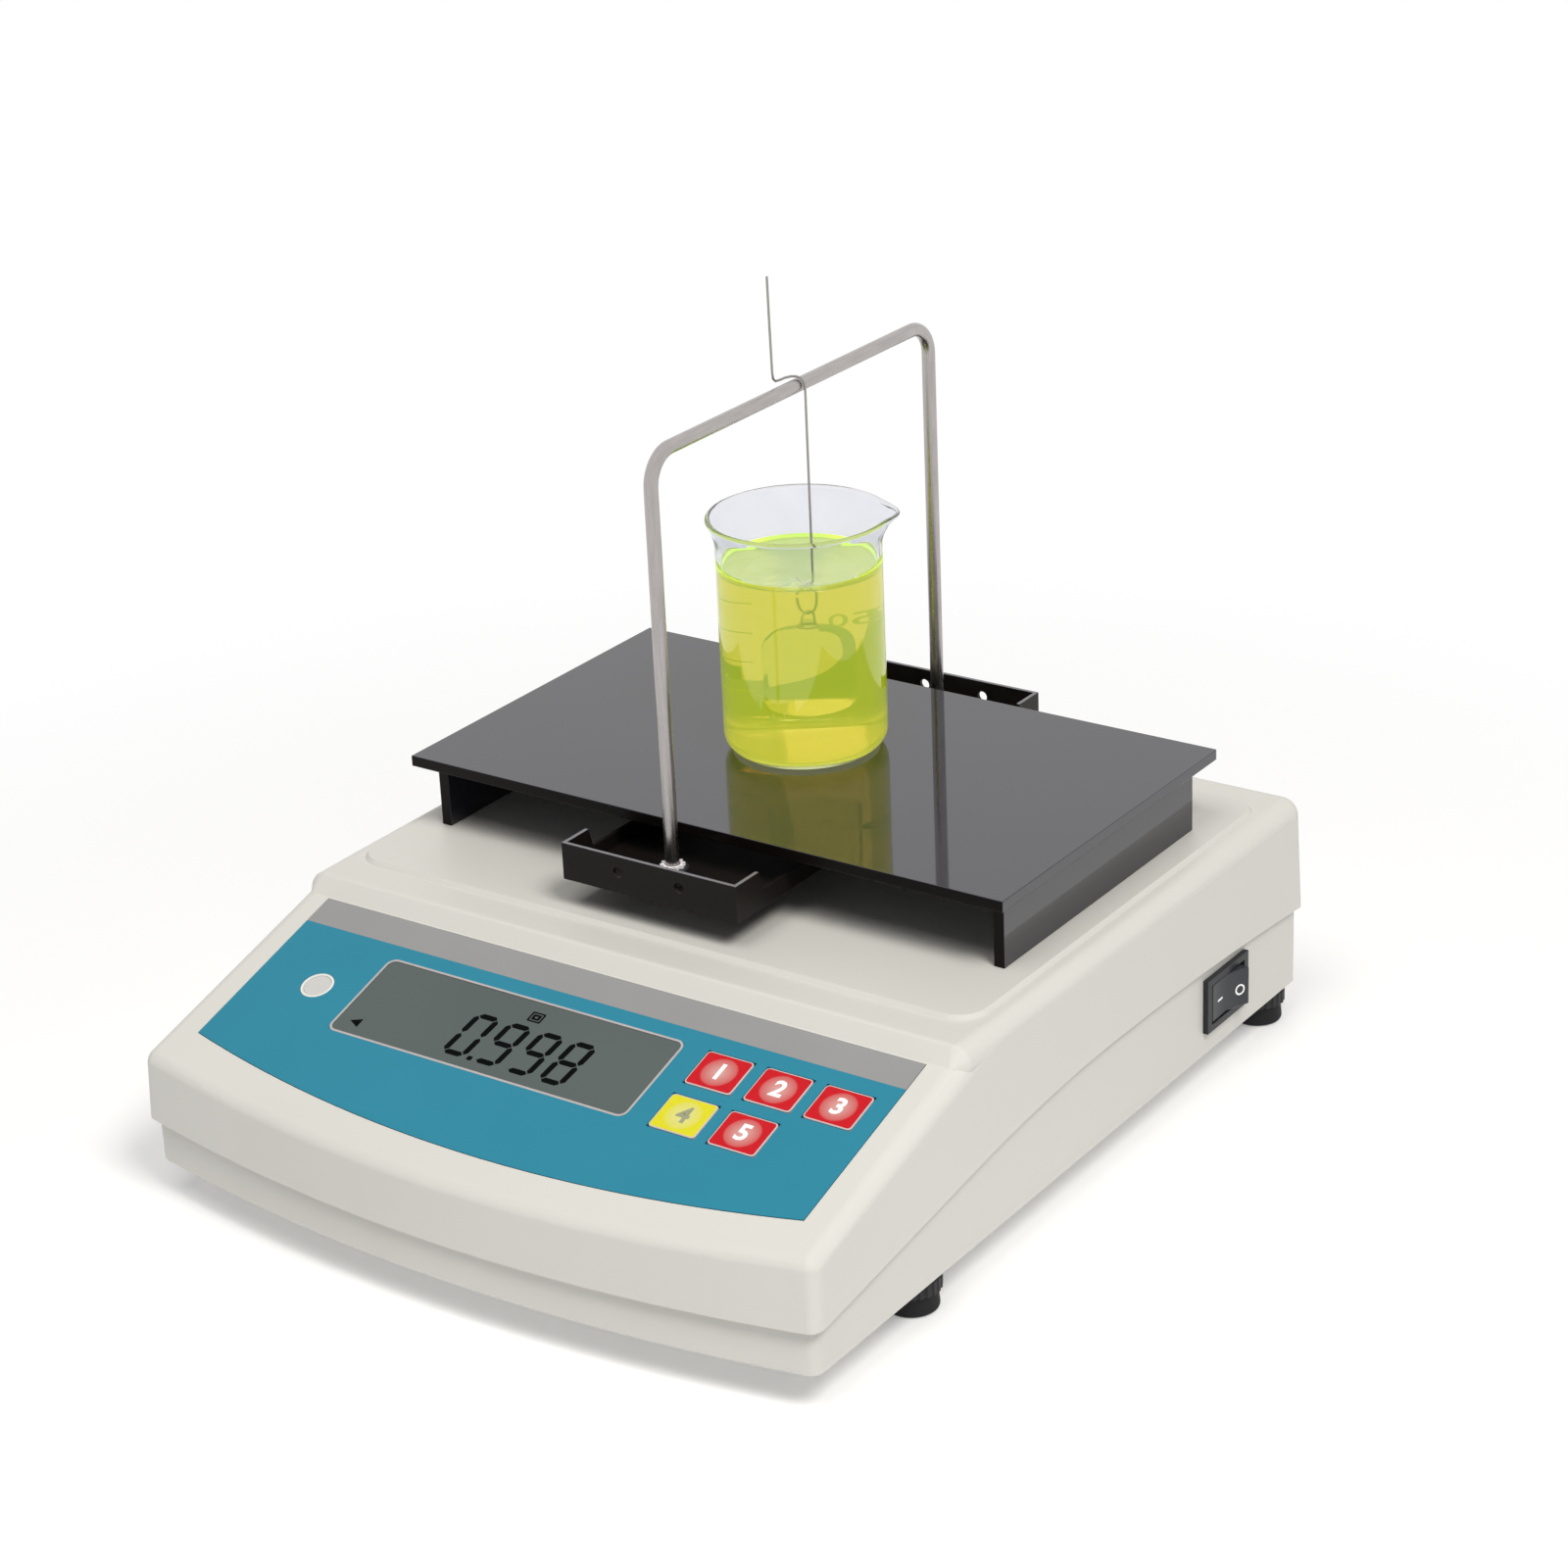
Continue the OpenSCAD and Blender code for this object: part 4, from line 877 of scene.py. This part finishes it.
# Its floor, on the glass: a soft mirror in a darker olive copy of the liquid, without a glow:
# painted shade on its downward faces.
liquid_floor_painted_shade = finish("liquid_floor_painted_shade", Roughness=0.14, IOR=1.34, Transmission_Weight=0.8,
                      Base_Color=linear("#b6b84b"))
heel = turn(LIQUID_R - 4, 5.98, 4, -88, 0, 8)
meniscus = [(LIQUID_R, LEVEL + 0.9), (LIQUID_R - 0.35, LEVEL + 0.5),
            (LIQUID_R - 0.9, LEVEL + 0.15), (LIQUID_R - 1.8, LEVEL), (LIQUID_R * 0.5, LEVEL)]
filling = lathe("liquid", [(0, LIQUID_LOW)] + heel + [(LIQUID_R, 20), (LIQUID_R, LEVEL - 1)]
                + meniscus + [(0, LEVEL)], [liquid, free_surface_painted_glow, liquid_floor_painted_shade], "beaker",
                BEAKER_AT)
# Faces at the level take the free surface's painted glow; the floor's downward faces take its
# painted shade.
for face in filling.data.polygons:
    if face.center.z > (LEVEL - 0.05) * MM and face.normal.z > 0.5:
        face.material_index = 1
    elif face.normal.z < -0.95 and face.center.z < FLOOR_BELOW * MM:
        face.material_index = 2


# ---- Hanger and sinker -------------------------------------------------------------
# A thin stainless wire is hung over the crossbar: its upper end stands free to be gripped, its
# lower end is a hook. On it hangs a solid glass sinker by a wire loop bound round its neck.

SINKER_R, SINKER_LOW, SINKER_TOP = 9.5, 98.3, 119.6
SINKER_AT = Vector((0, 38.8, 0)) * MM

# Drawn stainless wire: grey, half dull, as fine wire looks.
hanger_steel = finish("fine_stainless_wire", Metallic=1.0, Roughness=0.3)
mottle(hanger_steel, ("#8f8b85", "#aba7a0"), 1.0 * MM, rough=(0.22, 0.4))
skin("hanging_wire", "hanger_wire", hanger_steel, sharp=60)
skin("neck_loop", "sinker_loop", hanger_steel, sharp=60)
# Polished glass, sunk in the liquid: it bends light far less there than in air, so its IOR
# is low, and only its outline shows.
sinker_glass = finish("polished_sinker_glass", Roughness=0.0, IOR=1.045,
                      Transmission_Weight=1.0, Base_Color=linear("#eef5ea"))
ripple(sinker_glass, 9 * MM, 0.08, 0.2 * MM)
sinker = lathe("glass_sinker", [(0, SINKER_LOW + 0.4), (SINKER_R - 3, SINKER_LOW)]
               + turn(SINKER_R - 1.6, SINKER_LOW + 1.6, 1.6, -90, 0, 6)
               + turn(SINKER_R - 6, SINKER_TOP - 6, 6, 0, 80, 10)
               + [(2.4, SINKER_TOP + 0.05), (1.75, SINKER_TOP + 0.3), (1.55, SINKER_TOP + 0.8),
                  (1.7, SINKER_TOP + 1.5), (1.2, SINKER_TOP + 2.0), (0, SINKER_TOP + 2.1)],
               [sinker_glass], "sinker", SINKER_AT, sides=64)
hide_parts("sinker")
